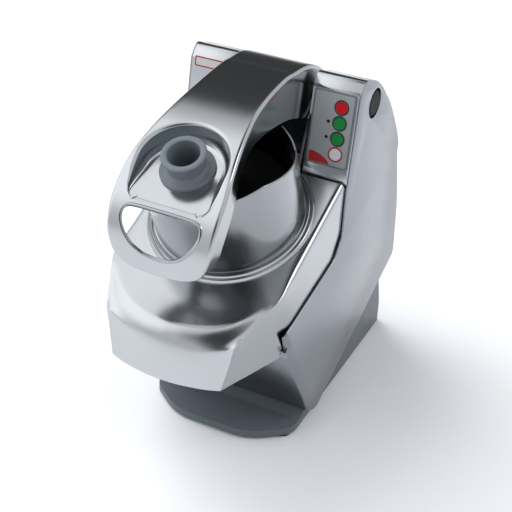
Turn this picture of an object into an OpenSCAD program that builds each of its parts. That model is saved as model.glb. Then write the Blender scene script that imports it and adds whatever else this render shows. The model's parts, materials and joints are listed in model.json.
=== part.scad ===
// Commercial vegetable slicer, standing on its foot, lever down.
// Millimetres, +Z up, +X to the operator's right, operator at -Y.
// Most pieces are drawn in the machine's own leaning frame: x across,
// u up along the sloping deck, w square to the deck.

/* [Body] */
// Width over the two side walls
body_w = 252; // [240:1:264]
// Lean of the whole machine towards the operator, degrees
tilt = 22.5; // [21:0.5:24]
// Height of the casing's front edge over the table
base_h = 21.4; // [20:0.2:23]
// Sheet of the casing
sheet = 2.5; // [2:0.1:3]
// Radius of the casing's two upright front corners
corner_r = 14; // [8:1:20]
// Height of the front edge of the side walls, along the lean
side_front_w = 238; // [232:1:240]
// Distance that the side walls' front edge comes forward over its height
side_front_lean = 33; // [28:1:36]

/* [Foot] */
// Width of the foot
foot_w = 224; // [210:1:232]
// Front of the foot, ahead of the casing's front edge
foot_front = 82; // [70:1:90]
// Rear of the foot, behind the casing's front edge
foot_back = 296; // [285:1:305]
// Height of the top of the foot's front plate
foot_plate_h = 15; // [13:0.5:17]
// Wall of the hollow foot
foot_wall = 6; // [5:0.5:8]
// Radius of a rubber pad
pad_r = 14; // [11:1:16]
// Height of a rubber pad under the foot
pad_h = 4; // [3:0.5:5]

/* [Chamber and cover] */
// Height of the chamber's floor over the casing's bottom
floor_w = 204; // [200:1:206]
// Height of the cover's deck over the casing's bottom
deck_w = 299; // [297:1:303]
// Gap between the cover and the casing's side walls
cover_gap = 2; // [1.5:0.1:3]
// Sheet of the cover
cover_sheet = 2; // [1.5:0.1:2.2]
// Distance of the deck's front edge ahead of the casing's front edge
deck_front = 87; // [80:1:92]
// Height of the discharge lip over the table
lip_z = 186; // [180:1:192]
// Distance of the discharge lip ahead of the casing's front edge
lip_front = 140; // [134:1:144]
// Half width of the hood's front at its corners
lip_half = 78; // [74:1:84]
// Place of the hopper and the disc up the deck
disc_u = 90; // [89:0.5:91]
// Distance of the hopper's inside within the disc's edge
hopper_step = 4.5; // [4.5:0.5:5.5]
// Sheet of the hopper
hopper_sheet = 2; // [1.5:0.1:2.5]
// Height of the hopper's rim at its front
rim_front_w = 438; // [434:1:440]
// Height of the hopper's rim at its back
rim_back_w = 398; // [392:1:400]
// Reach of the ring that seats the hopper on the deck, beyond the hopper's inside
ring_reach = 15; // [13:0.5:16]
// Height of the ring's highest bead over the deck
ring_h = 7; // [5:0.5:8]

/* [Cutting] */
// Distance of the cutting disc's edge within the cover's side
disc_margin = 19; // [18.5:0.5:20.5]
// Depth of the disc's top face under the deck
disc_drop = 15; // [13:0.5:17]
// Thickness of the cutting disc
disc_t = 3; // [2.5:0.5:4]
// Radius of the drive shaft
shaft_r = 9; // [8:0.5:10]
// Number of paddles on the ejector
paddle_count = 3; // [2:1:4]
// Pitch radius of the driven pulley
driven_r = 60; // [56:1:62]
// Pitch radius of the motor pulley
driver_r = 15; // [13:1:17]
// Place of the motor up the deck
motor_u = 214; // [212:1:216]
// Radius of the motor's shell, without its fins
motor_r = 60; // [56:1:62]

/* [Lever] */
// Gap at each side of the lever in its channel, where the cover's arms stand
lever_gap = 8; // [7.5:0.5:11]
// Half width of the lever at its handle
handle_half = 73; // [68:0.5:76]
// Sheet of the lever
lever_sheet = 2.5; // [2:0.1:3]
// Height of the lever's crest over the casing's bottom
crest_w = 482; // [478:1:486]
// Height of the lever's lower front edge over the casing's bottom
handle_w = 388; // [384:1:392]
// Distance of the lever's lower front edge ahead of the casing's front edge
handle_front = 83; // [80:1:86]
// Radius of the lever's drum round the hinge
drum_r = 27; // [24:0.5:30]
// Half width of the hand slot
slot_half = 54; // [50:1:56]
// Radius of the round recess in the lever
recess_r = 57; // [54:0.5:58]
// Depth of the recess's floor under the lever's crest
recess_depth = 26; // [24:1:29]
// Inner radius of the feed tube
tube_r = 20; // [18:0.5:21]
// Wall of the feed tube
tube_wall = 2.5; // [2:0.5:3]
// Place of the feed tube up the deck
tube_u = 30; // [29:0.5:32]
// Height of the feed tube's rim over the recess's floor
tube_rise = 30; // [28:1:36]
// Gap of the pusher in the hopper
pusher_gap = 5; // [4.5:0.5:6]

/* [Hinge] */
// Place of the hinge rod up the deck
hinge_u = 293.7; // [292:0.1:295]
// Height of the hinge rod over the casing's bottom
hinge_w = 348.8; // [347:0.1:350]
// Radius of the hinge rod
rod_r = 6; // [5:0.5:7]
// Radius of the rod's knob
knob_r = 19; // [17:0.5:20]
// Width of a pillar, from the channel to the side wall's inside
pillar_w = 65.5; // [63.5:0.5:66]
// Thickness of a hinge arm of the cover
arm_t = 3.5; // [3:0.1:4]

/* [Controls] */
// Radius of a push button
button_r = 8; // [7:0.5:9]
// Pitch of the four buttons up the panel
button_pitch = 21.4; // [20.5:0.1:22]
// Distance of the buttons from the outside of the right wall
button_inset = 23.5; // [22:0.5:26]
// Travel of a button
button_travel = 1.2; // [1:0.1:1.5]

/* [Fits] */
// Radial clearance of a shaft in its bearing
run_gap = 0.05; // [0.03:0.01:0.08]
// Gap between pieces that move past each other
side_gap = 0.3; // [0.3:0.1:0.5]

/* [Hidden] */
$fn = 72;

// Shared values
body_half = body_w / 2;
inner_half = body_half - sheet;
arc_steps = 8;
eps = 0.01;
far = 600;
floor_t = 3;
front_top_w = floor_w - floor_t;
cover_half = inner_half - cover_gap;
channel_half = inner_half - pillar_w;
lever_half = channel_half - lever_gap;
disc_r = cover_half - disc_margin;
disc_top_w = deck_w - disc_drop;
hopper_r = disc_r - hopper_step;
ring_r = hopper_r + ring_reach;
pusher_r = hopper_r - pusher_gap;
recess_w = crest_w - recess_depth;
button_x = body_half - button_inset;
bush_r = rod_r + 3;
bush_flange = 1.2;
bush_len = 14;

// Flat shapes and paths
function unit(v) = v / norm(v);
function at(points, i) = let (p = points[(i + len(points)) % len(points)]) [p[0], p[1]];
function turn(a, b) = ((b - a + 540) % 360) - 180;
// Arc of radius r that rounds the corner b between a and c
function corner(a, b, c, r) =
    r == 0 ? [b] :
    let (
        p = unit(a - b), q = unit(c - b), half = acos(p * q) / 2,
        centre = b + unit(p + q) * r / sin(half),
        start = b + p * r / tan(half) - centre, end = b + q * r / tan(half) - centre,
        from = atan2(start[1], start[0]), sweep = turn(from, atan2(end[1], end[0]))
    )
    arc(centre, r, from, from + sweep, arc_steps);
// Closed outline from corners given as [x, y, radius]
function rounded(points) =
    [for (i = [0:len(points) - 1])
        each corner(at(points, i - 1), at(points, i), at(points, i + 1), points[i][2])];
// Smooth curve through an open row of points
function spline(p, steps = 5) =
    let (last = len(p) - 1)
    [for (i = [0:last - 1], k = [0:steps - 1])
        let (t = k / steps, a = p[max(i - 1, 0)], b = p[i], c = p[i + 1], d = p[min(i + 2, last)])
        0.5 * (2 * b + (c - a) * t + (2 * a - 5 * b + 4 * c - d) * t ^ 2 + (3 * b - a - 3 * c + d) * t ^ 3),
     p[last]];
// Path moved sideways by d, to the left of its run
function beside(p, d) =
    let (last = len(p) - 1)
    [for (i = [0:last])
        let (run = unit(p[min(i + 1, last)] - p[max(i - 1, 0)]))
        p[i] + d * [-run[1], run[0]]];
function backwards(p) = [for (i = [len(p) - 1:-1:0]) p[i]];
function mirrored(p) = [for (q = backwards(p)) [-q[0], q[1]]];
function arc(centre, r, from, to, steps = 16) =
    [for (k = [0:steps]) let (a = from + (to - from) * k / steps) centre + r * [cos(a), sin(a)]];
// Strip of sheet of thickness t on the left of a path
module strip(path, t) { polygon(concat(path, backwards(beside(path, t)))); }

// Placing
// Front and rear of the whole machine set the frame's origin at the middle of its box
hem_r = 5;
front_y = -handle_front * cos(tilt) - handle_w * sin(tilt) - hem_r;
origin_y = (foot_back + front_y) / 2;
module standing() { translate([0, -origin_y, 0]) children(); }
module leaning() { standing() translate([0, 0, base_h]) rotate([tilt, 0, 0]) children(); }
// A flat (u, w) shape drawn across the machine from x = low to x = high
module across(low, high) { translate([low, 0, 0]) rotate([90, 0, 90]) linear_extrude(high - low) children(); }
// A flat (x, u) shape drawn from w = low to w = high
module upright(low, high) { translate([0, 0, low]) linear_extrude(high - low) children(); }
module both_sides() { children(); mirror([1, 0, 0]) children(); }
module on_disc_axis() { translate([0, disc_u, 0]) children(); }
module on_motor_axis() { translate([0, motor_u, 0]) children(); }
module on_tube_axis() { translate([0, tube_u, 0]) children(); }
// Turned pieces along the hinge rod, drawn from x = low to x = high
module on_hinge(low, high, r) {
    translate([low, hinge_u, hinge_w]) rotate([0, 90, 0]) cylinder(h = high - low, r = r);
}
// Tube along w
module pipe(low, high, outer, inner) {
    translate([0, 0, low]) difference() {
        cylinder(h = high - low, r = outer);
        translate([0, 0, -eps]) cylinder(h = high - low + 2 * eps, r = inner);
    }
}

// Side outline of the casing
hinge_at = [hinge_u, hinge_w];
face_low = [187, 289];
face_high = [257, 399];
face_angle = atan2(face_high[1] - face_low[1], face_high[0] - face_low[0]);
trough_r = 45;
hood_edge = hinge_at + trough_r * [cos(-29), sin(-29)];
pillar_front_u = 190;
face_foot = [pillar_front_u, face_low[1] + (pillar_front_u - face_low[0]) * tan(face_angle)];
crown = [276, 408];
shoulder = [309, 376];
// Run of the pillars' tops: up the face, over the crown and down to the hood's edge
crown_run = concat(
    corner(face_foot, face_high, crown, 14), corner(face_high, crown, shoulder, 12),
    spline([[300, 385], shoulder, [323, 352], hood_edge], 4)
);
// Rear surface, from the hood's edge down to the casing's bottom
hood_top = [344, 297];
rear_top = spline([hood_edge + 0.6 * unit(hood_top - hood_edge), hood_top, [356, 242], [360, 202]]);
rear_low = spline([[356.4, 210], [352, 180], [346, 138], [338, 90], [326, 50], [312, 7]], 4);
side_outline = concat(
    corner([306, 0], [0, 0], [-side_front_lean, side_front_w], 3),
    corner([0, 0], [-side_front_lean, side_front_w], [127, 208], 5),
    corner([-side_front_lean, side_front_w], [127, 208], [158, 225], 18),
    corner([127, 208], [158, 225], face_low, 18), corner([158, 225], face_low, face_high, 40),
    crown_run, rear_top, [for (p = rear_low) if (p[1] < 192) p], [[306, 0]]
);

// The leaning front panel and the two side walls, bent from one sheet
module front_lean() { rotate([atan2(side_front_lean, side_front_w), 0, 0]) children(); }
function plan_of_walls(half, front, r) =
    rounded([[-half, far, 0], [-half, front, r], [half, front, r], [half, far, 0]]);
module body_shell() color("#a3a9af") leaning() difference() {
    intersection() {
        front_lean() upright(-far / 4, far) difference() {
            polygon(plan_of_walls(body_half, 0, corner_r));
            polygon(plan_of_walls(inner_half, sheet, corner_r - sheet));
        }
        across(-body_half, body_half) polygon(side_outline);
    }
    translate([-inner_half, -far / 2, front_top_w]) cube([2 * inner_half, far * 0.7, far]);
    on_hinge(inner_half - 1, body_half + 1, knob_r + 2);
}

// Foot: a hollow wedge with a thin rounded plate at its front
module base_foot() color("#4d545c") standing() difference() {
    rise = tan(tilt);
    back_top = 262;
    play = 0.04;
    under = function (y) base_h - play + y * rise;
    intersection() {
        across(-foot_w / 2, foot_w / 2) polygon(rounded([
            [-foot_front, pad_h, 2], [-foot_front, foot_plate_h, 4], [-16, foot_plate_h, 8],
            [-4, under(-4), 0], [back_top, under(back_top), 4], [foot_back, pad_h, 3]
        ]));
        upright(-1, far) polygon(rounded([
            [-foot_w / 2, foot_back, 12], [-foot_w / 2, -foot_front + 44, 30], [-58, -foot_front + 3, 80],
            [58, -foot_front + 3, 80], [foot_w / 2, -foot_front + 44, 30], [foot_w / 2, foot_back, 12]
        ]));
    }
    across(-foot_w / 2 + foot_wall, foot_w / 2 - foot_wall) polygon([
        [8, -1], [8, under(8) - foot_wall * 1.4], [back_top - foot_wall, under(back_top) - foot_wall * 2],
        [foot_back - foot_wall * 2, -1]
    ]);
    for (place = pad_places) translate(place) cylinder(h = pad_h + 3, r = pad_r / 2);
}
pad_places = [
    for (x = [-1, 1], y = [-foot_front + 48, foot_back - pad_r - 2]) [x * (foot_w / 2 - pad_r - 4), y, 0]
];
module rubber_feet() color("#1d1f21") standing() for (place = pad_places) translate(place) {
    cylinder(h = pad_h, r1 = pad_r - 1.5, r2 = pad_r);
    cylinder(h = pad_h + 3, r = pad_r / 2);
}

// Bottom plate of the casing
bolt_places = [for (x = [-1, 1], u = [40, 200]) [x * (foot_w / 2 - 28), u]];
module bottom_plate() color("#8d949b") leaning() difference() {
    upright(0, sheet) polygon(rounded([
        [-inner_half, 304, 0], [-inner_half, sheet + 1, corner_r - sheet],
        [inner_half, sheet + 1, corner_r - sheet], [inner_half, 304, 0]
    ]));
    for (p = bolt_places) translate([p[0], p[1], -1]) cylinder(h = sheet + 2, r = 3);
}
module foot_bolts() color("#b9bdc1") leaning() for (p = bolt_places) translate([p[0], p[1], 0]) {
    translate([0, 0, sheet]) cylinder(h = 4, r = 5.5, $fn = 6);
    cylinder(h = sheet, r = 3);
}

// Rear: a curved hood above, a vented cover below
vent_rows = 5;
module rear_hood() color("#9ba1a7") leaning() difference() {
    across(-inner_half, inner_half) strip(rear_top, -sheet);
    on_hinge(-channel_half, channel_half, trough_r + sheet);
}
module rear_cover() color("#8f959b") leaning() difference() {
    across(-inner_half, inner_half) strip(rear_low, -sheet);
    for (row = [0:vent_rows - 1], side = [-1, 1])
        translate([side * 54, 360, 70 + row * 14]) rotate([-8, 0, 0]) rotate([90, 0, 0])
            linear_extrude(60) polygon(rounded([
                [-32, -2.5, 2.4], [32, -2.5, 2.4], [32, 2.5, 2.4], [-32, 2.5, 2.4]
            ]));
    gland_bore(gland_r);
}
// Screws square to the cover's curve, at its points number k
module on_rear(x, k) {
    run = rear_low[k + 1] - rear_low[k - 1];
    translate([x, rear_low[k][0], rear_low[k][1]]) rotate([atan2(run[1], run[0]), 0, 0]) children();
}
module rear_cover_screws() color("#c2c6ca") leaning() for (x = [-1, 1], k = [4, 17])
    on_rear(x * (inner_half - 11.5), k) translate([0, 0, 0.1]) cylinder(h = 2, r = 4);

// Cable gland at the rear, with its cable bore
gland_r = 9;
gland_x = 70;
gland_w = 34;
cord_r = 4;
module on_gland() { translate([gland_x, 320, gland_w]) rotate([-17.3, 0, 0]) rotate([-90, 0, 0]) children(); }
module gland_bore(r) { on_gland() translate([0, 0, -30]) cylinder(h = 60, r = r); }
module cable_gland() color("#26282a") leaning() on_gland() difference() {
    union() {
        translate([0, 0, -14]) cylinder(h = 18, r = gland_r);
        translate([0, 0, 1.4]) cylinder(h = 4.2, r = gland_r + 3, $fn = 6);
        translate([0, 0, 5.6]) cylinder(h = 6, r1 = gland_r + 1, r2 = cord_r + 2.5);
        translate([0, 0, -10]) cylinder(h = 4, r = gland_r + 3, $fn = 6);
    }
    translate([0, 0, -15]) cylinder(h = 40, r = cord_r);
}

// Pillars: two boxes of sheet on both sides of the channel for the lever
pillar_path = concat(
    [[pillar_front_u, floor_w]], corner([pillar_front_u, floor_w], face_foot, face_high, 6), crown_run
);
// The inner plate ends short of the rear hood
plate_end = hood_edge[0] - sheet - 0.5;
pillar_outline = concat(pillar_path, [[plate_end, hood_edge[1] - 1], [plate_end, floor_w]]);
module pillar() difference() {
    union() {
        across(channel_half, inner_half) strip(pillar_path, -sheet);
        across(channel_half, channel_half + sheet) polygon(pillar_outline);
    }
    on_hinge(0, channel_half + sheet + 1, rod_r + 3);
}
module left_pillar() color("#a3a9af") leaning() mirror([1, 0, 0]) pillar();
scoop_low = body_half - 28;
module scoop(low, high, grow) {
    on_hinge(low, high, knob_r + 2 + grow);
    translate([0, -9, 17]) on_hinge(low, high, knob_r + 3 + grow);
}
module right_pillar() color("#a3a9af") leaning() difference() {
    pillar();
    // Finger scoop round the knob
    scoop(scoop_low, inner_half + 1, 0);
    on_face() translate([window_x, window_low, -10]) cube([window_w, window_h, 20]);
}

// Black cup that lines the scoop
module knob_cup() color("#17191b") leaning() difference() {
    intersection() {
        scoop(scoop_low - 2, inner_half, 1.5);
        across(0, body_half) polygon(concat(backwards(beside(pillar_path, -sheet)), [[hood_edge[0], floor_w]]));
    }
    scoop(scoop_low, body_half, 0);
    on_hinge(0, body_half, rod_r + 1);
}

// Sheet that closes the channel behind the hopper and under the lever's drum
module channel_panel() color("#2b2f33") leaning() {
    back_u = 222;
    shelf_w = hinge_w - trough_r;
    path = concat(
        [[back_u, floor_w]], corner([back_u, floor_w], [back_u, shelf_w], [hinge_u, shelf_w], 14),
        arc(hinge_at, trough_r, 270, 331)
    );
    across(-channel_half, channel_half) strip(path, -sheet);
}

// Chamber floor: a tray between the side walls, with a lip over the front panel
floor_front = side_front_lean * front_top_w / side_front_w + 0.5 + sheet;
floor_back = 224.5;
module chamber_floor() color("#b3b8bd") leaning() difference() {
    union() {
        translate([-inner_half, -floor_front, front_top_w])
            cube([2 * inner_half, floor_front + floor_back, floor_t]);
        translate([-inner_half, -floor_front, front_top_w - 10]) cube([2 * inner_half, sheet, 10]);
    }
    on_disc_axis() translate([0, 0, front_top_w - 1]) cylinder(h = floor_t + 2, r = housing_r);
    for (p = housing_screws) translate([p[0], p[1], front_top_w - 1]) cylinder(h = floor_t + 2, r = 2.4);
}
// Scroll wall round the disc, open to the front
scroll_r = disc_r + 3.5;
module chamber_wall() color("#aab0b5") leaning() difference() {
    on_disc_axis() pipe(floor_w, deck_w - 6, scroll_r + cover_sheet, scroll_r);
    translate([-far / 2, -far, 0]) cube([far, far + disc_u - 52, far]);
}

// Bearing housing, bearings and seal of the drive shaft
housing_r = 24;
housing_low = floor_w - 24;
bearing_r = 17.5;
seal_t = 6;
housing_screws = [for (a = [45:90:315]) [33 * cos(a), disc_u + 33 * sin(a)]];
module bearing_housing() color("#7c8288") leaning() difference() {
    on_disc_axis() {
        pipe(housing_low, floor_w + 8, housing_r, bearing_r);
        pipe(front_top_w - 6, front_top_w, housing_r + 16, bearing_r);
    }
    for (p = housing_screws) translate([p[0], p[1], front_top_w - 7]) cylinder(h = 8, r = 2.4);
}
module bearing_screws() color("#c2c6ca") leaning() for (p = housing_screws) translate([p[0], p[1], 0]) {
    translate([0, 0, front_top_w - 6]) cylinder(h = floor_t + 6, r = 2.4);
    translate([0, 0, floor_w]) cylinder(h = 2.4, r = 4.5);
}
module shaft_bearings() color("#c9cdd1") leaning() on_disc_axis() for (low = [housing_low + 1, floor_w - 12]) {
    pipe(low, low + 10, bearing_r, 14);
    pipe(low + 1, low + 9, 14, 12);
    pipe(low, low + 10, 12, shaft_r + run_gap);
}
module shaft_seal() color("#24272a") leaning() on_disc_axis()
    pipe(floor_w + 8 - seal_t, floor_w + 8, bearing_r, shaft_r + run_gap);

// Heights of the pulleys, under the bearing housing
pulley_high = housing_low - 7;
pulley_low = pulley_high - 16;

// Motor and its mounting plate
motor_top = pulley_low - 11;
motor_low = 42;
motor_plate_t = 4;
motor_spigot_r = 22;
motor_shaft_r = 7;
motor_bolts_at = [for (a = [45:90:315]) [46 * cos(a), motor_u + 46 * sin(a)]];
module motor_plate() color("#868d94") leaning() difference() {
    union() {
        translate([-inner_half, 140, motor_top]) cube([2 * inner_half, 150, motor_plate_t]);
        both_sides() translate([inner_half - sheet, 140, motor_top - 22]) cube([sheet, 150, 22]);
    }
    on_motor_axis() translate([0, 0, motor_top - 1]) cylinder(h = motor_plate_t + 2, r = motor_spigot_r);
    for (p = motor_bolts_at) translate([p[0], p[1], motor_top - 1]) cylinder(h = motor_plate_t + 2, r = 3);
}
fin_count = 20;
module motor_shell() color("#5a6167") leaning() on_motor_axis() difference() {
    union() {
        translate([0, 0, motor_low]) cylinder(h = motor_top - motor_low, r = motor_r);
        translate([0, 0, motor_top]) cylinder(h = motor_plate_t, r = motor_spigot_r);
        for (k = [0:fin_count - 1]) rotate([0, 0, (k + 0.5) * 360 / fin_count])
            translate([motor_r - 2, -1.2, motor_low + 12]) cube([8, 2.4, motor_top - motor_low - 26]);
    }
    translate([0, 0, motor_low - 1]) cylinder(h = far, r = motor_shaft_r + run_gap);
}
module motor_end_bell() color("#2f3336") leaning() on_motor_axis() difference() {
    translate([0, 0, 10]) cylinder(h = motor_low - 10, r = motor_r - 2);
    translate([0, 0, 13]) cylinder(h = motor_low, r = motor_r - 5);
    for (k = [0:11]) rotate([0, 0, k * 30]) translate([24, -2.5, 9]) cube([24, 5, 6]);
}
module motor_bolts() color("#c2c6ca") leaning() for (p = motor_bolts_at) translate([p[0], p[1], 0]) {
    translate([0, 0, motor_top]) cylinder(h = motor_plate_t, r = 3);
    translate([0, 0, motor_top + motor_plate_t]) cylinder(h = 4, r = 5.5, $fn = 6);
}
module motor_capacitor() color("#d9dbdc") leaning() translate([37.5 - inner_half, 120, sheet]) {
    cylinder(h = 66, r = 17);
    translate([0, 0, 66]) cylinder(h = 4, r = 13);
    for (x = [-5, 5]) translate([x - 0.4, -3, 70]) cube([0.8, 6, 8]);
}
module motor_shaft() color("#c4c8cc") leaning() on_motor_axis()
    translate([0, 0, 24]) cylinder(h = pulley_high - 21, r = motor_shaft_r);
module motor_fan() color("#3c4145") leaning() on_motor_axis() {
    pipe(26, 30, motor_r - 12, motor_shaft_r);
    for (k = [0:6]) rotate([0, 0, k * 360 / 7]) translate([12, -1, 15]) cube([motor_r - 26, 2, 11]);
}

// Belt drive
groove = 1.2;
module pulley(pitch, bore, hub) rotate_extrude() polygon(concat(
    [[bore, pulley_low], [pitch + 2.5, pulley_low], [pitch + 2.5, pulley_low + 2]],
    [for (w = [pulley_low + 2.4:2.3:pulley_high - 4]) each [[pitch - 1, w], [pitch - 1 + groove, w + 1.1]]],
    [[pitch - 1, pulley_high - 2], [pitch + 2.5, pulley_high - 1.6], [pitch + 2.5, pulley_high]],
    // A wide pulley is hollow between its rim and its hub
    pitch - 7 > hub ?
        [[pitch - 7, pulley_high], [pitch - 7, pulley_low + 5], [hub, pulley_low + 5], [hub, pulley_high]] : [],
    [[bore, pulley_high]]
));
module driven_pulley() color("#55595d") leaning() on_disc_axis() difference() {
    pulley(driven_r, shaft_r, shaft_r + 7);
    for (a = [0:60:300]) rotate([0, 0, a])
            translate([driven_r * 0.58, 0, pulley_low - 1]) cylinder(h = 10, r = 9);
}
module motor_pulley() color("#6a6f74") leaning() on_motor_axis() pulley(driver_r, motor_shaft_r, driver_r - 3);
// Outline of a belt round both pulleys, at radius offset by grow
function belt_outline(grow) =
    let (lean = asin((driven_r - driver_r) / (motor_u - disc_u)))
    concat(
        arc([0, disc_u], driven_r + grow, 180 - lean, 360 + lean, 40),
        arc([0, motor_u], driver_r + grow, lean, 180 - lean, 20)
    );
module drive_belt() color("#1b1c1e") leaning() upright(pulley_low + 2.6, pulley_high - 2.6) difference() {
    polygon(belt_outline(3));
    polygon(belt_outline(0.6));
}

// Control panel on the right pillar's sloping face
module on_face() { translate([0, face_low[0], face_low[1]]) rotate([face_angle, 0, 0]) children(); }
window_x = button_x - 36.5;
window_w = 51;
window_low = 30;
window_h = 94;
plate_t = 2;
overlay_t = 0.8;
button_low = 44.6;
board_drop = 16;
function button_s(k) = button_low + k * button_pitch;
module panel_shape(grow, low, high, r) {
    translate([0, 0, low]) linear_extrude(high - low) polygon(rounded([
        [window_x - grow, window_low - grow, r], [window_x + window_w + grow, window_low - grow, r],
        [window_x + window_w + grow, window_low + window_h + grow, r],
        [window_x - grow, window_low + window_h + grow, r]
    ]));
}
module button_holes() {
    for (k = [0:3]) translate([button_x, button_s(k), -20]) cylinder(h = 40, r = button_r + side_gap);
    for (k = [1:2]) translate([lamp_x, button_s(k), -20]) cylinder(h = 40, r = lamp_r);
}
module control_plate() color("#6b7177") leaning() on_face() difference() {
    union() {
        panel_shape(4.5, 0, plate_t, 4);
        panel_shape(-side_gap, -board_drop, 0, 1);
    }
    panel_shape(-2.5, -board_drop - 1, -2, 1);
    button_holes();
}
module control_overlay() color("#8f959a") leaning() on_face() difference() {
    panel_shape(2, plate_t, plate_t + overlay_t, 3);
    button_holes();
}
lamp_x = button_x - 16;
lamp_r = 2.2;
module indicator_lamps() color("#141516") leaning() on_face() for (k = [1, 2])
    translate([lamp_x, button_s(k), 0]) {
    translate([0, 0, -2]) cylinder(h = plate_t + overlay_t + 2.3, r = lamp_r);
    translate([0, 0, -4]) cylinder(h = 2, r = lamp_r + 0.8);
}
module control_board() color("#2c6b45") leaning() on_face() {
    panel_shape(-side_gap, -board_drop - 1.6, -board_drop, 1);
    translate([window_x + 6, window_low + 8, -board_drop - 14]) cube([22, 26, 12.4]);
    translate([window_x + 8, window_low + 50, -board_drop - 10]) cube([14, 18, 8.4]);
}
// A button stands on a plunger over the board, and its shoulder stops behind the plate
module push_button(k) leaning() on_face() translate([button_x, button_s(k), 0]) {
    translate([0, 0, -2 - side_gap - 2]) cylinder(h = 2, r = button_r + 1.8);
    translate([0, 0, -2 - side_gap]) cylinder(h = 2 + side_gap + plate_t + overlay_t + 0.6, r = button_r);
    translate([0, 0, -board_drop + button_travel + side_gap]) cylinder(h = board_drop - button_travel - 4, r = 2);
}
module stop_button() color("#d0202a") push_button(3);
module start_button() color("#0a8a45") push_button(2);
module pulse_button() color("#0a8a45") push_button(1);
module ready_button() color("#e6e7e8") push_button(0);

// Magnetic safety switch on the left pillar, and its magnet on the cover's left arm
switch_at = [228, 323];
switch_t = 1.4;
magnet_t = 0.6;
module on_switch() { translate([0, switch_at[0], switch_at[1]]) rotate([48, 0, 0]) children(); }
module safety_switch() color("#1f2225") leaning() on_switch()
    translate([-channel_half, -12, -5]) cube([switch_t, 24, 10]);
module switch_magnet() color("#3a3d40") leaning() on_switch()
    translate([-arm_high - magnet_t, -8, -4]) cube([magnet_t, 16, 8]);

// Cover: deck, side walls and discharge hood, pressed as one shell
deck_rear = 186;
tongue_rear = 216;
lip_w = 206;
wall_turn = 20;
// Flat top of the deck, up to the soft fold over the nose
function deck_outline(inset) = let (side = cover_half - inset) concat(
    [[-side, deck_rear], [-side, -wall_turn]],
    spline([
        [5 - side, -wall_turn - 8 + inset], [27 - side, -deck_front + 34 + inset],
        [64 - side, -deck_front + 11 + inset], [0, -deck_front + inset], [side - 64, -deck_front + 11 + inset],
        [side - 27, -deck_front + 34 + inset], [side - 5, -wall_turn - 8 + inset]
    ], 4),
    [[side, -wall_turn], [side, deck_rear]]
);
// Outline of the hood under the deck: its walls run together to corners at the share t of their run to
// the lip's corners, and its nose reaches forward by nose
function hood_outline(t, nose, inset) =
    let (
        side = cover_half - inset, x = side - t * (cover_half - lip_half),
        u = inset - wall_turn - t * (lip_front - 15 - wall_turn)
    )
    rounded([
        [-side, deck_rear, 0], [-side, -wall_turn, 60], [-x, u, 3], [0, -nose + inset, 300], [x, u, 3],
        [side, -wall_turn, 60], [side, deck_rear, 0]
    ]);
// Drop under the deck, share of the walls' run and reach of the nose
hood_rows = [
    [12, 0.68, deck_front + 19], [22, 0.725, lip_front - 25], [31.5, 0.77, lip_front - 18.5],
    [50, 0.87, lip_front - 7.5], [66.5, 1, lip_front + 1], [deck_w - lip_w, 1.2, lip_front + 12]
];
module hood(inset, low) hull() {
    upright(deck_w - 1 - inset, deck_w - inset) polygon(deck_outline(inset));
    for (row = hood_rows) upright(deck_w - row[0] - low, deck_w - row[0] - low + 0.1)
        polygon(hood_outline(row[1], row[2], inset));
}
module cover_shell() color("#b4b9be") leaning() difference() {
    union() {
        hood(0, 0);
        translate([-arm_high - 1, deck_rear - 10, deck_w - cover_sheet])
            cube([2 * arm_high + 2, tongue_rear - deck_rear + 10, cover_sheet]);
    }
    hood(cover_sheet, 1);
    translate([-cover_half + cover_sheet, deck_rear - 10, lip_w - 2])
        cube([2 * (cover_half - cover_sheet), 12, deck_w - lip_w - cover_sheet + 2]);
    on_disc_axis() translate([0, 0, deck_w - 20]) cylinder(h = 40, r = hopper_r + hopper_sheet);
    // The lip lies level over the table, however the machine leans
    translate([-far / 2, 0, (lip_z - base_h) / cos(tilt)]) rotate([-tilt, 0, 0]) translate([0, -far, -far])
        cube([far, 2 * far, far]);
}
hopper_low = disc_top_w + 4;
rim_fall_u = 48;
rim_fall = 95;
module hopper() color("#c3c7cb") leaning() difference() {
    on_disc_axis() pipe(hopper_low, rim_front_w, hopper_r + hopper_sheet, hopper_r);
    // The rim is level at its front, falls to the back and is level again there
    across(-far / 2, far / 2) polygon([
        [-far, rim_front_w], [rim_fall_u, rim_front_w], [rim_fall_u + rim_fall, rim_back_w], [far, rim_back_w],
        [far, far], [-far, far]
    ]);
}
module hopper_ring() color("#b9bec3") leaning() on_disc_axis() rotate_extrude() {
    r = hopper_r + hopper_sheet;
    step = (ring_r - r) / 3;
    polygon(concat(
        [[r, deck_w]], [[r, deck_w + ring_h + 3]],
        spline([
            [r + 1.5, deck_w + ring_h + 3], [r + step * 0.8, deck_w + ring_h - 3],
            [r + step * 1.3, deck_w + ring_h], [r + step * 1.9, deck_w + ring_h - 4],
            [r + step * 2.4, deck_w + ring_h - 2.4], [ring_r - 0.6, deck_w + 1.6], [ring_r, deck_w]
        ], 4)
    ));
}
arm_low = lever_half + bush_flange + side_gap;
arm_high = arm_low + arm_t;
arm_foot = 12;
arm_eye = 13;
module hinge_arms() color("#9aa0a6") leaning() both_sides() difference() {
    union() {
        across(arm_low, arm_high) {
            polygon([
                [192, deck_w], [tongue_rear, deck_w], [248, hinge_w - arm_eye], [hinge_u, hinge_w - arm_eye],
                [hinge_u, hinge_w + arm_eye], [238, 352]
            ]);
            translate(hinge_at) circle(r = arm_eye);
        }
        translate([arm_low - arm_foot, 200, deck_w]) cube([arm_foot + arm_t, tongue_rear - 200, 2]);
    }
    on_hinge(0, far, rod_r + run_gap);
}
rivet_places = [for (x = [-1, 1], u = [204, 211]) [x * (arm_low - 6), u]];
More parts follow.
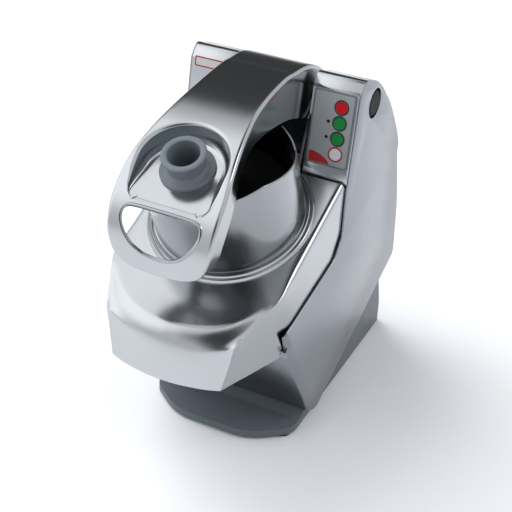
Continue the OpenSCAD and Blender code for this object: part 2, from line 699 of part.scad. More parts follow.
module arm_rivets() color("#c9cdd1") leaning() for (p = rivet_places)
    translate([p[0], p[1], deck_w + 2]) cylinder(h = 1.2, r = 2.6);

// Lever: an arched pressing with deep sides, a round recess and a hand slot
crest_path = spline([
    hinge_at + drum_r * [cos(45), sin(45)], [298, 391], [269, 421], [213, crest_w - 31], [131, crest_w - 6],
    [60, crest_w], [-5, crest_w - 14], [-52, crest_w - 42], [-handle_front, handle_w]
], 6);
under_path = spline([
    hinge_at - [10, drum_r - 1.9], [236, 356], [194, 392], [114, 438], [44, 450], [0, 438], [-40, 414],
    [-handle_front + 5, handle_w - 2]
], 4);
plan_path = spline([
    [lever_half, hinge_u + drum_r + 2], [lever_half, hinge_u - 14], [lever_half, 262], [lever_half - 2, 200],
    [lever_half + 2, 131], [handle_half - 10.5, 60], [handle_half - 0.5, -5], [handle_half, -40],
    [handle_half - 3.5, -66], [handle_half - 14, -78], [34, -handle_front - 1]
], 5);
module plan_shape(path) { polygon(concat(path, mirrored(path))); }
recess_u = 22;
recess_front = -31;
module recess(grow, low, high) {
    r = recess_r + grow;
    front = recess_front - grow;
    upright(low, high) polygon(concat(
        arc([0, recess_u], r, 0, 180, 32),
        corner([-r, recess_u], [-r + 3, front], [r - 3, front], 14),
        corner([-r + 3, front], [r - 3, front], [r, recess_u], 14)
    ));
}
slot_back = -38;
slot_front = -72;
module hand_slot() {
    upright(300, far) polygon(rounded([
        [-slot_half, slot_back, 12], [slot_half, slot_back, 12], [slot_half - 4, slot_front + 14, 10],
        [30, slot_front, 16], [-30, slot_front, 16], [-slot_half + 4, slot_front + 14, 10]
    ]));
}
module lever_shell() color("#aeb3b8") leaning() difference() {
    union() {
        // Skin
        difference() {
            intersection() {
                across(-far / 2, far / 2) union() {
                    strip(crest_path, lever_sheet);
                    translate(hinge_at) difference() {
                        circle(r = drum_r);
                        circle(r = drum_r - lever_sheet);
                    }
                }
                upright(0, far) plan_shape(plan_path);
            }
            recess(0, recess_w - lever_sheet, far);
        }
        // Sides
        intersection() {
            across(-far / 2, far / 2) union() {
                polygon(concat(crest_path, backwards(under_path)));
                translate(hinge_at) circle(r = drum_r);
            }
            upright(0, far) difference() {
                plan_shape(plan_path);
                plan_shape(beside(plan_path, -lever_sheet));
            }
        }
        // Recess wall and floor
        intersection() {
            difference() {
                recess(lever_sheet, recess_w - lever_sheet, far);
                recess(0, recess_w, far);
            }
            across(-far / 2, far / 2) polygon(concat(crest_path, [[-handle_front, 200], [hinge_u, 200]]));
        }
        // Rolled lower edge of the handle
        translate([-32, -handle_front, handle_w]) rotate([0, 90, 0]) cylinder(h = 64, r = hem_r, $fn = 32);
    }
    hand_slot();
    on_tube_axis() translate([0, 0, recess_w - 20]) cylinder(h = 40, r = tube_r + tube_wall);
    pusher_screw_shanks();
    on_hinge(-far / 2, far / 2, bush_r);
}
module lever_hinge_tube() color("#8f959b") leaning() difference() {
    reach = lever_half - lever_sheet;
    on_hinge(-reach, reach, bush_r + 3);
    on_hinge(-far / 2, far / 2, bush_r);
}
module lever_bushes() color("#2a2c2e") leaning() both_sides() difference() {
    union() {
        on_hinge(lever_half - bush_len, lever_half, bush_r);
        on_hinge(lever_half, lever_half + bush_flange, bush_r + 3);
    }
    on_hinge(0, far, rod_r + run_gap);
}
pusher_low = disc_top_w + 6;
pusher_top = pusher_low + 54;
flange_r = 33;
rim_r = 27;
module feed_tube() color("#697076") leaning() difference() {
    r = tube_r + tube_wall;
    top = recess_w + tube_rise;
    on_tube_axis() rotate_extrude() polygon([
        [tube_r, pusher_low], [r, pusher_low], [r, recess_w], [flange_r, recess_w], [flange_r, recess_w + 3],
        [flange_r - 2, recess_w + 5], [r + 2, recess_w + 7], [r + 1, top - 14], [rim_r - 0.5, top - 11],
        [rim_r, top - 2], [rim_r - 2, top], [tube_r + 1.5, top], [tube_r, top - 1.5]
    ]);
    pusher_screw_shanks();
}
// Pusher: its face fills the hopper and its back narrows, so that it swings out
neck_r = 32;
post_u = 112;
post_r = 15;
pusher_top_r = pusher_r - 7;
pusher_top_u = 86;
module pusher() color("#1a1c1e") leaning() difference() {
    union() {
        hull() {
            translate([0, disc_u + 1.75, pusher_low]) cylinder(h = 8, r = pusher_r, $fn = 64);
            translate([0, pusher_top_u, pusher_top - 1]) cylinder(h = 1, r = pusher_top_r, $fn = 64);
        }
        on_tube_axis() translate([0, 0, pusher_top])
            cylinder(h = recess_w - lever_sheet - pusher_top, r = neck_r);
        translate([0, post_u, pusher_top]) cylinder(h = 140, r = post_r);
        translate([-3, tube_u, pusher_top]) cube([6, post_u - tube_u, 88]);
        for (x = [-1, 1]) translate([x * 34, tube_u + 20, pusher_top]) rotate([0, 0, x * 50])
            translate([-3, -24, 0]) cube([6, 48, 20]);
    }
    on_tube_axis() translate([0, 0, pusher_low - 1]) cylinder(h = 200, r = tube_r + tube_wall);
    across(-far / 2, far / 2) polygon(concat(beside(crest_path, lever_sheet), [[-90, 520], [340, 520]]));
    pusher_screw_shanks();
}
// Four screws hold the tube's flange, the recess's floor and the pusher together
module pusher_screw_shanks() on_tube_axis() for (a = [45:90:315])
    translate([27 * cos(a), 27 * sin(a), recess_w - 20]) cylinder(h = 21.5, r = 2);
module pusher_screws() color("#c9cdd1") leaning() pusher_screw_shanks();

// Hinge rod with its knob, drawn out to the right to free the lever and the cover
knob_t = 11;
module hinge_rod() color("#c9cdd1") leaning() union() {
    on_hinge(-90, body_half - knob_t, rod_r);
    translate([-94, hinge_u, hinge_w]) rotate([0, 90, 0]) cylinder(h = 4, r1 = rod_r - 2.5, r2 = rod_r);
}
module rod_knob() color("#17191b") leaning() translate([0, hinge_u, hinge_w]) rotate([0, 90, 0]) difference() {
    rotate_extrude() polygon([
        [0, body_half - knob_t - 12], [rod_r + 3, body_half - knob_t - 12], [rod_r + 3, body_half - knob_t],
        [knob_r - 2, body_half - knob_t + 4], [knob_r, body_half - knob_t + 7], [knob_r, body_half - 2.5],
        [knob_r - 2.5, body_half], [0, body_half]
    ]);
    translate([0, 0, body_half - knob_t - 13]) cylinder(h = 13, r = rod_r);
}
module pillar_bushes() color("#2a2c2e") leaning() both_sides() difference() {
    union() {
        on_hinge(channel_half, channel_half + 12, rod_r + 3);
        on_hinge(channel_half + sheet, channel_half + sheet + 2, rod_r + 6);
    }
    on_hinge(0, far, rod_r + run_gap);
}

// Drive shaft and what turns with it
module drive_shaft() color("#c4c8cc") leaning() on_disc_axis() {
    translate([0, 0, pulley_low - 7]) cylinder(h = disc_top_w - pulley_low + 7, r = shaft_r);
    translate([0, 0, pulley_low - 7]) cylinder(h = 7, r = shaft_r + 3);
}
ejector_r = disc_r - 8.5;
module ejector_disc() color("#e3e4e2") leaning() on_disc_axis() {
    low = floor_w + 11;
    difference() {
        union() {
            pipe(low, low + 4, ejector_r, shaft_r);
            pipe(low, disc_top_w - disc_t - 22, 19, shaft_r);
            for (k = [0:paddle_count - 1]) rotate([0, 0, k * 360 / paddle_count]) intersection() {
                translate([38, 0, low + 3]) pipe(0, 20, 57, 53);
                translate([-ejector_r, 0, low]) cube([2 * ejector_r, ejector_r, 30]);
                translate([0, 0, low]) cylinder(h = 30, r = ejector_r - 1);
            }
        }
        translate([0, 0, low - 1]) cylinder(h = 40, r = shaft_r);
    }
}
blade_lift = 2;
blade_in = 24;
blade_out = disc_r - 12.5;
slot_near = 12;
slot_far = 30;
blade_back = 46;
module twice() { children(); rotate([0, 0, 180]) children(); }
module cutting_disc() color("#cdd1d4") leaning() on_disc_axis() difference() {
    low = disc_top_w - disc_t;
    union() {
        pipe(low, disc_top_w, disc_r, shaft_r);
        pipe(low - 22, low, 19, shaft_r);
        pipe(low - 6, low, disc_r, disc_r - 2.5);
    }
    twice() {
        // Slot under each blade's edge, and a finger hole beside it
        upright(low - 1, disc_top_w + 1) polygon(rounded([
            [blade_in, slot_near, 4], [blade_out + 4, slot_near, 6],
            [blade_out - 6, slot_far, 6], [blade_in, slot_far, 4]
        ]));
        translate([-52, 30, low - 1]) cylinder(h = disc_t + 2, r = 9);
    }
}
module blade_screw_holes(low, high, r) for (x = [blade_in + 10, 57, blade_out - 14])
    translate([x, slot_far + 9, low]) cylinder(h = high - low, r = r);
module disc_blade() color("#e0e3e5") leaning() on_disc_axis() translate([0, 0, disc_top_w]) twice() difference() {
    across(blade_in, blade_out - 6) polygon([
        [slot_far - 8, blade_lift - 0.4], [slot_far - 2, 0], [blade_back, 0], [blade_back, blade_lift],
        [slot_far - 8, blade_lift]
    ]);
    blade_screw_holes(-1, blade_lift + 1, 2);
}
module blade_screws() color("#9da2a6") leaning() on_disc_axis() twice() {
    blade_screw_holes(disc_top_w, disc_top_w + blade_lift, 2);
    blade_screw_holes(disc_top_w + blade_lift, disc_top_w + blade_lift + 1, 3.4);
}
module disc_nut() color("#b4b9bd") leaning() on_disc_axis() {
    translate([0, 0, disc_top_w]) cylinder(h = 3.6, r1 = 17, r2 = 14);
}

base_foot();
rubber_feet();
body_shell();
bottom_plate();
rear_cover();
rear_hood();
left_pillar();
right_pillar();
knob_cup();
channel_panel();
chamber_floor();
chamber_wall();
bearing_housing();
shaft_bearings();
shaft_seal();
bearing_screws();
motor_plate();
motor_shell();
motor_end_bell();
motor_bolts();
motor_capacitor();
control_board();
control_plate();
control_overlay();
indicator_lamps();
safety_switch();
cable_gland();
rear_cover_screws();
foot_bolts();
pillar_bushes();
drive_belt();
cover_shell();
hopper();
hopper_ring();
hinge_arms();
arm_rivets();
switch_magnet();
lever_shell();
lever_hinge_tube();
lever_bushes();
feed_tube();
pusher();
pusher_screws();
hinge_rod();
rod_knob();
drive_shaft();
driven_pulley();
ejector_disc();
cutting_disc();
disc_blade();
blade_screws();
disc_nut();
motor_shaft();
motor_pulley();
motor_fan();
stop_button();
start_button();
pulse_button();
ready_button();
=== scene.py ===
"""Commercial vegetable slicer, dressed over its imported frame.

Sizes are millimetres in the machine's leaning frame: x across, u up along the sloping deck and w
square to the deck. A finished mesh stands in the row frame, in metres.
"""
import bisect
import json
import logging
from dataclasses import dataclass, field
from enum import Enum
from math import atan2, cos, dist, pi, radians, sin, tan, tau
from typing import Callable, Sequence

import bpy
from mathutils import Matrix, Vector

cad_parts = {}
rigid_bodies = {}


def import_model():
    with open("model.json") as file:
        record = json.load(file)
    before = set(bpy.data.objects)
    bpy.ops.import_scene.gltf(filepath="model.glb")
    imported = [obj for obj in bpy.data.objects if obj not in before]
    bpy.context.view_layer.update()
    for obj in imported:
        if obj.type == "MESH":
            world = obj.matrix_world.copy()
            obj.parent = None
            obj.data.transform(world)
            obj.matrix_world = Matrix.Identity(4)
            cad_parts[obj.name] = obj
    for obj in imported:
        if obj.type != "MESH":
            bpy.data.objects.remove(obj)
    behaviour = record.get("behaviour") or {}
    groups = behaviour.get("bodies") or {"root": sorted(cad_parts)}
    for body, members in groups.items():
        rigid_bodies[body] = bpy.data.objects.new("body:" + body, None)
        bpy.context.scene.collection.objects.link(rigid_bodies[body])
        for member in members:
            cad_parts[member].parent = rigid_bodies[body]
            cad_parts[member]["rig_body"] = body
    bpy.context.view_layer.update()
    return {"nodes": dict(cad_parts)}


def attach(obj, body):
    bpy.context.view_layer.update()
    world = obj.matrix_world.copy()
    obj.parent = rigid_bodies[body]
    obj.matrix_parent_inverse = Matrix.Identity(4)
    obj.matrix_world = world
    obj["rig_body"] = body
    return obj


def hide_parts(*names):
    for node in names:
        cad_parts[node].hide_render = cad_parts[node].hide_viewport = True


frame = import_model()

LOG = logging.getLogger("slicer")
MM = 0.001
LEAN = radians(22.5)
BASE_H = 21.4
ORIGIN_Y = 32.918
LEANING = (
    Matrix.Translation((0, -ORIGIN_Y * MM, BASE_H * MM))
    @ Matrix.Rotation(LEAN, 4, "X")
    @ Matrix.Scale(MM, 4)
)
Piece = bpy.types.Object
Numbers = tuple[float, ...]
Pair = tuple[float, float]
Point = tuple[float, float, float]
Line = Sequence[Sequence[float]]
Flat = Sequence[Pair]
Row = list[Point]


# Numbers and curves


def linear(code: str) -> tuple[float, float, float, float]:
    """Turns an sRGB colour, written as "#rrggbb", into Blender's linear one with alpha."""
    parts = [int(code[k:k + 2], 16) / 255 for k in (1, 3, 5)]
    return (*(c / 12.92 if c <= 0.04045 else ((c + 0.055) / 1.055) ** 2.4 for c in parts), 1.0)


def mix(a: Sequence[float], b: Sequence[float], t: float) -> Numbers:
    """Returns the point at the share t of the way from a to b."""
    return tuple(p + (q - p) * t for p, q in zip(a, b))


def through(points: Line, steps: int = 8) -> list[Numbers]:
    """Draws a smooth curve through an open row of points.

    Args:
        points: Points of any one length.
        steps: Pieces between two neighbours.

    Returns:
        The curve's points, with the given ones among them.
    """
    last, out = len(points) - 1, []
    for i in range(last):
        a, b = points[max(i - 1, 0)], points[i]
        c, d = points[i + 1], points[min(i + 2, last)]
        for k in range(steps):
            t = k / steps
            out.append(tuple(
                0.5 * (
                    2 * q + (r - p) * t + (2 * p - 5 * q + 4 * r - s) * t * t
                    + (3 * q - p - 3 * r + s) * t ** 3
                )
                for p, q, r, s in zip(a, b, c, d)
            ))
    return out + [tuple(points[last])]


def rounded(corners: Row, steps: int = 8) -> list[Pair]:
    """Rounds a closed outline.

    Args:
        corners: Corners as x, y and radius.
        steps: Pieces in each arc.

    Returns:
        The outline's points.
    """
    out: list[Pair] = []
    for i, (_, _, r) in enumerate(corners):
        a, b, c = (Vector(corners[(i + k) % len(corners)][:2]) for k in (-1, 0, 1))
        p, q = (a - b).normalized(), (c - b).normalized()
        half = p.angle(q) / 2
        centre = b + (p + q).normalized() * r / sin(half)
        start, end = b + p * r / tan(half) - centre, b + q * r / tan(half) - centre
        sweep = start.angle_signed(end)
        for k in range(steps + 1):
            turn = Matrix.Rotation(-sweep * k / steps, 2)
            out.append(tuple(centre + turn @ start))
    return out


def quarter(steps: int) -> list[Pair]:
    """Returns the sine and cosine at even steps of a quarter turn."""
    turns = [radians(90 / steps * k) for k in range(steps + 1)]
    return [(sin(a), cos(a)) for a in turns]


def outward(run: Vector) -> Vector:
    """Returns the way out of a closed outline that runs along a vector, anticlockwise."""
    return Vector((run.y, -run.x)).normalized()


def mirrored(row: Row) -> Row:
    """Returns a row of points on the machine's other side."""
    return [(-x, u, w) for x, u, w in row]


def lengths(line: Line) -> list[float]:
    """Returns the length of a line up to each of its points."""
    run = [0.0]
    for a, b in zip(line, line[1:]):
        run.append(run[-1] + dist(a, b))
    return run


def along(line: Line, run: list[float], s: float) -> Numbers:
    """Returns the point at the length s of a line, whose lengths are given as run."""
    k = min(max(bisect.bisect(run, s) - 1, 0), len(run) - 2)
    return mix(line[k], line[k + 1], (s - run[k]) / (run[k + 1] - run[k]))


def sample(line: Line, count: int) -> Row:
    """Divides a line into a count of even pieces, and returns their ends."""
    run = lengths(line)
    return [along(line, run, run[-1] * k / count) for k in range(count + 1)]


# Modelling by hand


def only(obj: Piece) -> None:
    """Selects one object and makes it the active one."""
    bpy.ops.object.select_all(action="DESELECT")
    obj.select_set(True)
    bpy.context.view_layer.objects.active = obj


def edit(obj: Piece, *steps: Callable[[], object]) -> None:
    """Runs edit mode operators on all of an object's mesh.

    Args:
        obj: The object.
        steps: The operators, run in order without arguments.
    """
    only(obj)
    bpy.ops.object.mode_set(mode="EDIT")
    bpy.ops.mesh.select_all(action="SELECT")
    for step in steps:
        step()
    bpy.ops.object.mode_set(mode="OBJECT")


def add_object(name: str, data: bpy.types.ID) -> Piece:
    """Puts a new object into the scene and returns it."""
    obj = bpy.data.objects.new(name, data)
    bpy.context.scene.collection.objects.link(obj)
    return obj


def modify(obj: Piece, kind: str, **settings: object) -> None:
    """Adds a modifier to an object and applies it.

    Args:
        obj: The object.
        kind: The modifier's type.
        settings: Its settings.
    """
    modifier = obj.modifiers.new(kind.title(), kind)
    for key, value in settings.items():
        setattr(modifier, key, value)
    only(obj)
    bpy.ops.object.modifier_apply(modifier=modifier.name)


def thicken(
    obj: Piece, sheet: float, face: bpy.types.MeshPolygon, way: Point, even: bool = True,
) -> None:
    """Thickens a skin inwards.

    Args:
        obj: The skin.
        sheet: Its thickness.
        face: One of its faces.
        way: The outside at that face. A skin that looks the other way is turned over first.
        even: True to keep the thickness even round bends.
    """
    if face.normal.dot(Vector(way)) < 0:
        edit(obj, bpy.ops.mesh.flip_normals)
    modify(obj, "SOLIDIFY", thickness=sheet, offset=-1.0, use_quality_normals=even)


def sheetwork(
    name: str, sheets: list[list[Row]], rings: list[list[Row]], ends: Sequence[Row] = (),
) -> Piece:
    """Joins grids of points into one mesh, as pressed sheet is welded.

    Args:
        name: The object's name.
        sheets: Grids, each as its rows of points.
        rings: Grids whose rows close on themselves.
        ends: Single faces, each as its row of points.

    Returns:
        The object, in leaning millimetres.
    """
    points: Row = []
    faces: list[list[int]] = []
    for number, rows in enumerate(sheets + rings):
        base, wide = len(points), len(rows[0])
        points += [p for row in rows for p in row]
        for i in range(len(rows) - 1):
            near, far = base + i * wide, base + (i + 1) * wide
            for j in range(wide - 1 if number < len(sheets) else wide):
                k = (j + 1) % wide
                faces.append([near + j, near + k, far + k, far + j])
    for row in ends:
        faces.append(list(range(len(points), len(points) + len(row))))
        points += row
    mesh = bpy.data.meshes.new(name)
    mesh.from_pydata(points, [], faces)
    obj = add_object(name, mesh)
    edit(
        obj,
        lambda: bpy.ops.mesh.remove_doubles(threshold=0.02),
        lambda: bpy.ops.mesh.dissolve_degenerate(threshold=0.01),
        bpy.ops.mesh.normals_make_consistent,
    )
    return obj


def prism(name: str, outline: Flat, low: float, high: float) -> Piece:
    """Returns the closed solid that stands on an outline in x and u, from w low to w high."""
    ends = [[(x, u, w) for x, u in outline] for w in (low, high)]
    return sheetwork(name, [], [ends], ends)


def cut(obj: Piece, tool: Piece) -> None:
    """Cuts a tool's solid out of an object and throws the tool away."""
    modify(obj, "BOOLEAN", object=tool, operation="DIFFERENCE", solver="EXACT")
    bpy.data.objects.remove(tool)


def turned(name: str, profile: Flat, centre: Point, axis: Point, steps: int = 64) -> Piece:
    """Spins a profile round an axis, as on a lathe.

    Args:
        name: The object's name.
        profile: Points as radius and height along the axis.
        centre: A point on the axis at height 0.
        axis: The axis' direction.
        steps: Steps of the full turn.

    Returns:
        The turned object.
    """
    way = Vector(axis).normalized()
    across = way.orthogonal().normalized()
    points = [Vector(centre) + across * r + way * h for r, h in profile]
    mesh = bpy.data.meshes.new(name)
    mesh.from_pydata(points, [(k, k + 1) for k in range(len(points) - 1)], [])
    obj = add_object(name, mesh)
    edit(
        obj,
        lambda: bpy.ops.mesh.spin(steps=steps, angle=tau, center=centre, axis=tuple(way)),
        lambda: bpy.ops.mesh.remove_doubles(threshold=0.01),
        bpy.ops.mesh.normals_make_consistent,
    )
    return obj


def bead(name: str, points: Row, radius: float, closed: bool = True) -> Piece:
    """Lays a round bead along a row of points.

    Args:
        name: The object's name.
        points: The bead's middle.
        radius: Its radius.
        closed: True if the ends meet.

    Returns:
        The bead as a mesh.
    """
    curve = bpy.data.curves.new(name, "CURVE")
    curve.dimensions = "3D"
    line = curve.splines.new("POLY")
    line.points.add(len(points) - 1)
    for knot, p in zip(line.points, points):
        knot.co = (*p, 1)
    line.use_cyclic_u = closed
    curve.bevel_depth = radius
    curve.bevel_resolution = 3
    curve.use_fill_caps = not closed
    only(add_object(name, curve))
    bpy.ops.object.convert(target="MESH")
    return bpy.context.object


def join(parts: Sequence[Piece]) -> Piece:
    """Joins objects into the first one and returns it."""
    only(parts[0])
    for part in parts[1:]:
        part.select_set(True)
    bpy.ops.object.join()
    return parts[0]


# Finishes

# Between these the sum of two noise values mostly lies
NOISE_SUM = (0.6, 1.4)
COAT_ROUGHNESS = 0.08


def add_node(
    tree: bpy.types.NodeTree, kind: str, settings: dict | None = None, links: dict | None = None,
) -> bpy.types.Node:
    """Adds a node with its settings and links.

    Args:
        tree: The node tree.
        kind: The shader node's type.
        settings: Values of inputs, by name or number, or of the node's own settings.
        links: For an input, the node and the output that feed it.

    Returns:
        The new node.
    """
    node = tree.nodes.new("ShaderNode" + kind)
    for key, value in (settings or {}).items():
        if isinstance(key, int) or key in node.inputs:
            node.inputs[key].default_value = value
        else:
            setattr(node, key, value)
    for key, (source, output) in (links or {}).items():
        tree.links.new(source.outputs[output], node.inputs[key])
    return node


def fresh_tree(owner: bpy.types.ID) -> bpy.types.NodeTree:
    """Returns the emptied node tree of a material or a world."""
    owner.use_nodes = True
    owner.node_tree.nodes.clear()
    return owner.node_tree


@dataclass(frozen=True)
class Finish:
    """A surface as it was made.

    Attributes:
        name: Its material and making.
        tint: Main colour.
        shade: Colour that the main one wanders towards.
        metallic: 1 for bare metal.
        rough: Lowest and highest roughness.
        grain: Size of the grain in mm, all round or along x, u and w.
        depth: Depth of the grain in mm.
        patch: Size in mm of the soft changes of colour and gloss.
        ior: Index of refraction.
        coat: Weight of a clear coat.
    """

    name: str
    tint: str
    shade: str
    metallic: float = 0
    rough: Pair = (0.4, 0.5)
    grain: Numbers = (0.8,)
    depth: float = 0.01
    patch: float = 60
    ior: float = 1.5
    coat: float = 0

    def make(self) -> bpy.types.Material:
        """Builds the material's nodes and returns it."""
        material = bpy.data.materials.new(self.name)
        tree = fresh_tree(material)
        place = {"Vector": (add_node(tree, "TexCoord"), "Object")}
        noises = []
        for sizes, lean, detail in ((self.grain * 3, LEAN, 3), ((self.patch,) * 3, 0, 2)):
            size = [length * MM for length in sizes[:3]]
            turn = {"vector_type": "TEXTURE", "Rotation": (lean, 0, 0), "Scale": size}
            feed = {"Vector": (add_node(tree, "Mapping", turn, place), 0)}
            noises.append(add_node(tree, "TexNoise", {"Scale": 1, "Detail": detail}, feed))
        grain, clouds = noises
        tints = {"data_type": "RGBA", 6: linear(self.tint), 7: linear(self.shade)}
        colour = add_node(tree, "Mix", tints, {0: (clouds, 0)})
        both = add_node(tree, "Math", {"operation": "ADD"}, {0: (grain, 0), 1: (clouds, 0)})
        span = zip(("From Min", "From Max", "To Min", "To Max"), (*NOISE_SUM, *self.rough))
        rough = add_node(tree, "MapRange", dict(span), {"Value": (both, 0)})
        depth = {"Strength": 1, "Distance": self.depth * MM}
        bump = add_node(tree, "Bump", depth, {"Height": (grain, 0)})
        settings = {
            "Metallic": self.metallic, "Coat Weight": self.coat, "Coat Roughness": COAT_ROUGHNESS,
        }
        if not self.metallic:
            settings["IOR"] = self.ior
        shader = add_node(tree, "BsdfPrincipled", settings, {
            "Base Color": (colour, 2), "Roughness": (rough, 0), "Normal": (bump, 0),
        })
        add_node(tree, "OutputMaterial", None, {"Surface": (shader, 0)})
        return material


# Roughness, grain, its depth, patch, index and coat that all caps share, and those of both inks
CAP = ((0.3, 0.38), (0.6,), 0.002, 15, 1.4, 0.1)
PRINT = ((0.4, 0.5), (0.5,), 0.002, 20)


class Look(Enum):
    """The machine's finishes."""

    # Cold rolled stainless sheet with a fine satin grind: long soft reflections across the grain
    SATIN_STEEL = Finish(
        "stainless_sheet_satin", "#c0c3c6", "#b7babe", 1, (0.16, 0.21), (40, 0.9, 0.9), 0.0006, 90,
    )
    # The same sheet on the side walls, ground along the lean; its darker tint is painted shade for
    # the dimmer room that the walls reflect
    WALL_STEEL = Finish(
        "stainless_sheet_wall_painted_shade", "#9da1a7", "#959aa0", 1, (0.26, 0.34), (0.9, 40, 0.9), 0.0008, 90,
    )
    # Drawn stainless bowl, brighter, with nearly clear reflections
    BRIGHT_STEEL = Finish(
        "stainless_bowl_polished", "#a9acb0", "#a1a4a9", 1, (0.14, 0.22), (0.6, 0.6, 30), 0.001,
    )
    # Sheet in the shade of the housing, dull from the mill
    MILL_STEEL = Finish("stainless_sheet_mill", "#8e949a", "#82888e", 1, (0.38, 0.48), (6,), 0.003)
    # Ground and hardened steel of shafts, bearings and blades
    TOOL_STEEL = Finish(
        "ground_tool_steel", "#c9ccd0", "#bcc0c4", 1, (0.16, 0.24), (0.4, 0.4, 12), 0.001,
    )
    # Zinc plated screws, slightly blue and dull
    ZINC = Finish("zinc_plated_screw", "#aeb4ba", "#9fa6ad", 1, (0.3, 0.42), (0.8,), 0.003, 12)
    # Die cast aluminium housing, with the fine pebble of its mould
    CAST = Finish("cast_aluminium", "#8a9096", "#7c8288", 1, (0.45, 0.6), (1.2,), 0.03, 40)
    # Slate powder coat of the foot, with the orange peel of such paint
    SLATE = Finish("slate_powder_coat", "#666d75", "#5e656c", 0, (0.42, 0.5), (2.2,), 0.012, 120)
    # Dark paint of the motor's shell
    MOTOR_PAINT = Finish("motor_enamel", "#3a4045", "#33383d", 0, (0.38, 0.5), (2,), 0.02, 60)
    # Sheet in the channel behind the bowl, painted near black as the channel's painted shade
    DARK_SHEET = Finish("channel_sheet_painted_shade", "#24282c", "#1d2023", 0, (0.45, 0.55), (1.5,), 0.006, 80)
    # Grey moulded nylon of the feed tube, with a fine spark finish
    GREY_NYLON = Finish(
        "moulded_nylon_grey", "#747c83", "#6a7279", 0, (0.36, 0.44), (0.7,), 0.008, 50,
    )
    # Black moulded plastic of the pusher and the knob
    BLACK_PLASTIC = Finish(
        "moulded_plastic_black", "#101214", "#16181a", 0, (0.5, 0.6), (0.7,), 0.008, 50, 1.25,
    )
    # White moulded plastic of the ejector and the capacitor's can
    WHITE_PLASTIC = Finish(
        "moulded_plastic_white", "#dcdedc", "#d2d5d3", 0, (0.35, 0.45), (0.9,), 0.006,
    )
    # Rubber of pads, seals and the belt, matt and slightly dusty
    RUBBER = Finish("moulded_rubber", "#1c1e20", "#26282a", 0, (0.65, 0.8), (0.9,), 0.02, 30)
    # Anodised frame round the switches
    PANEL_FRAME = Finish(
        "anodised_panel_frame", "#7d8388", "#757b80", 0, (0.35, 0.42), (0.6,), 0.004, 40,
    )
    # Printed polyester membrane over the switches, with a soft sheen
    MEMBRANE = Finish(
        "polyester_membrane", "#a9adb0", "#a0a5a8", 0, (0.42, 0.5), (0.5,), 0.003, 40, 1.57,
    )
    # Fibreglass circuit board
    BOARD = Finish("fibreglass_board", "#2a6a44", "#23603c", 0, (0.35, 0.45), (0.6,), 0.004, 20)
    # Red moulded cap of the stop button, with a soft gloss
    RED_CAP = Finish("button_cap_red", "#dc1420", "#d0121d", 0, *CAP)
    # Green caps of the start and pulse buttons, moulded as the red one
    GREEN_CAP = Finish("button_cap_green", "#00963f", "#008a39", 0, *CAP)
    # White cap of the fourth button, moulded as the others
    WHITE_CAP = Finish("button_cap_white", "#eceeef", "#e4e6e7", 0, *CAP)
    # Printed dark ink round the buttons
    INK = Finish("printed_dark_ink", "#2a2d30", "#303336", 0, *PRINT)
    # Printed red ink of the membrane's corner and the bare plate's frame
    RED_INK = Finish("printed_red_ink", "#c4232c", "#b81f28", 0, *PRINT)


@dataclass
class Paintshop:
    """Makes each finish once and puts it on pieces."""

    made: dict[Look, bpy.types.Material] = field(default_factory=dict)

    def material(self, look: Look) -> bpy.types.Material:
        """Returns the material of a finish."""
        if look not in self.made:
            self.made[look] = look.value.make()
        return self.made[look]

    def paint(self, obj: Piece, look: Look) -> None:
        """Gives an object one finish all over."""
        obj.data.materials.clear()
        obj.data.materials.append(self.material(look))

    def deliver(
        self, obj: Piece, look: Look, body: str, replaces: str = "", angle: float = 35.0,
        settled: bool = False,
    ) -> None:
        """Finishes a new piece: into the row frame, smooth, painted and riding.

        Args:
            obj: The piece, in leaning millimetres unless settled.
            look: Its finish.
            body: The CAD body that carries it.
            replaces: CAD node that it stands for, if any.
            angle: Edges sharper than this many degrees stay sharp.
            settled: True if the piece is in the row frame already.
        """
        if not settled:
            obj.data.transform(LEANING)
        only(obj)
        bpy.ops.object.shade_smooth_by_angle(angle=radians(angle))
        self.paint(obj, look)
        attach(obj, body)
        if replaces:
            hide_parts(replaces)
        LOG.info("%s: %d faces, rides on %s", obj.name, len(obj.data.polygons), body)


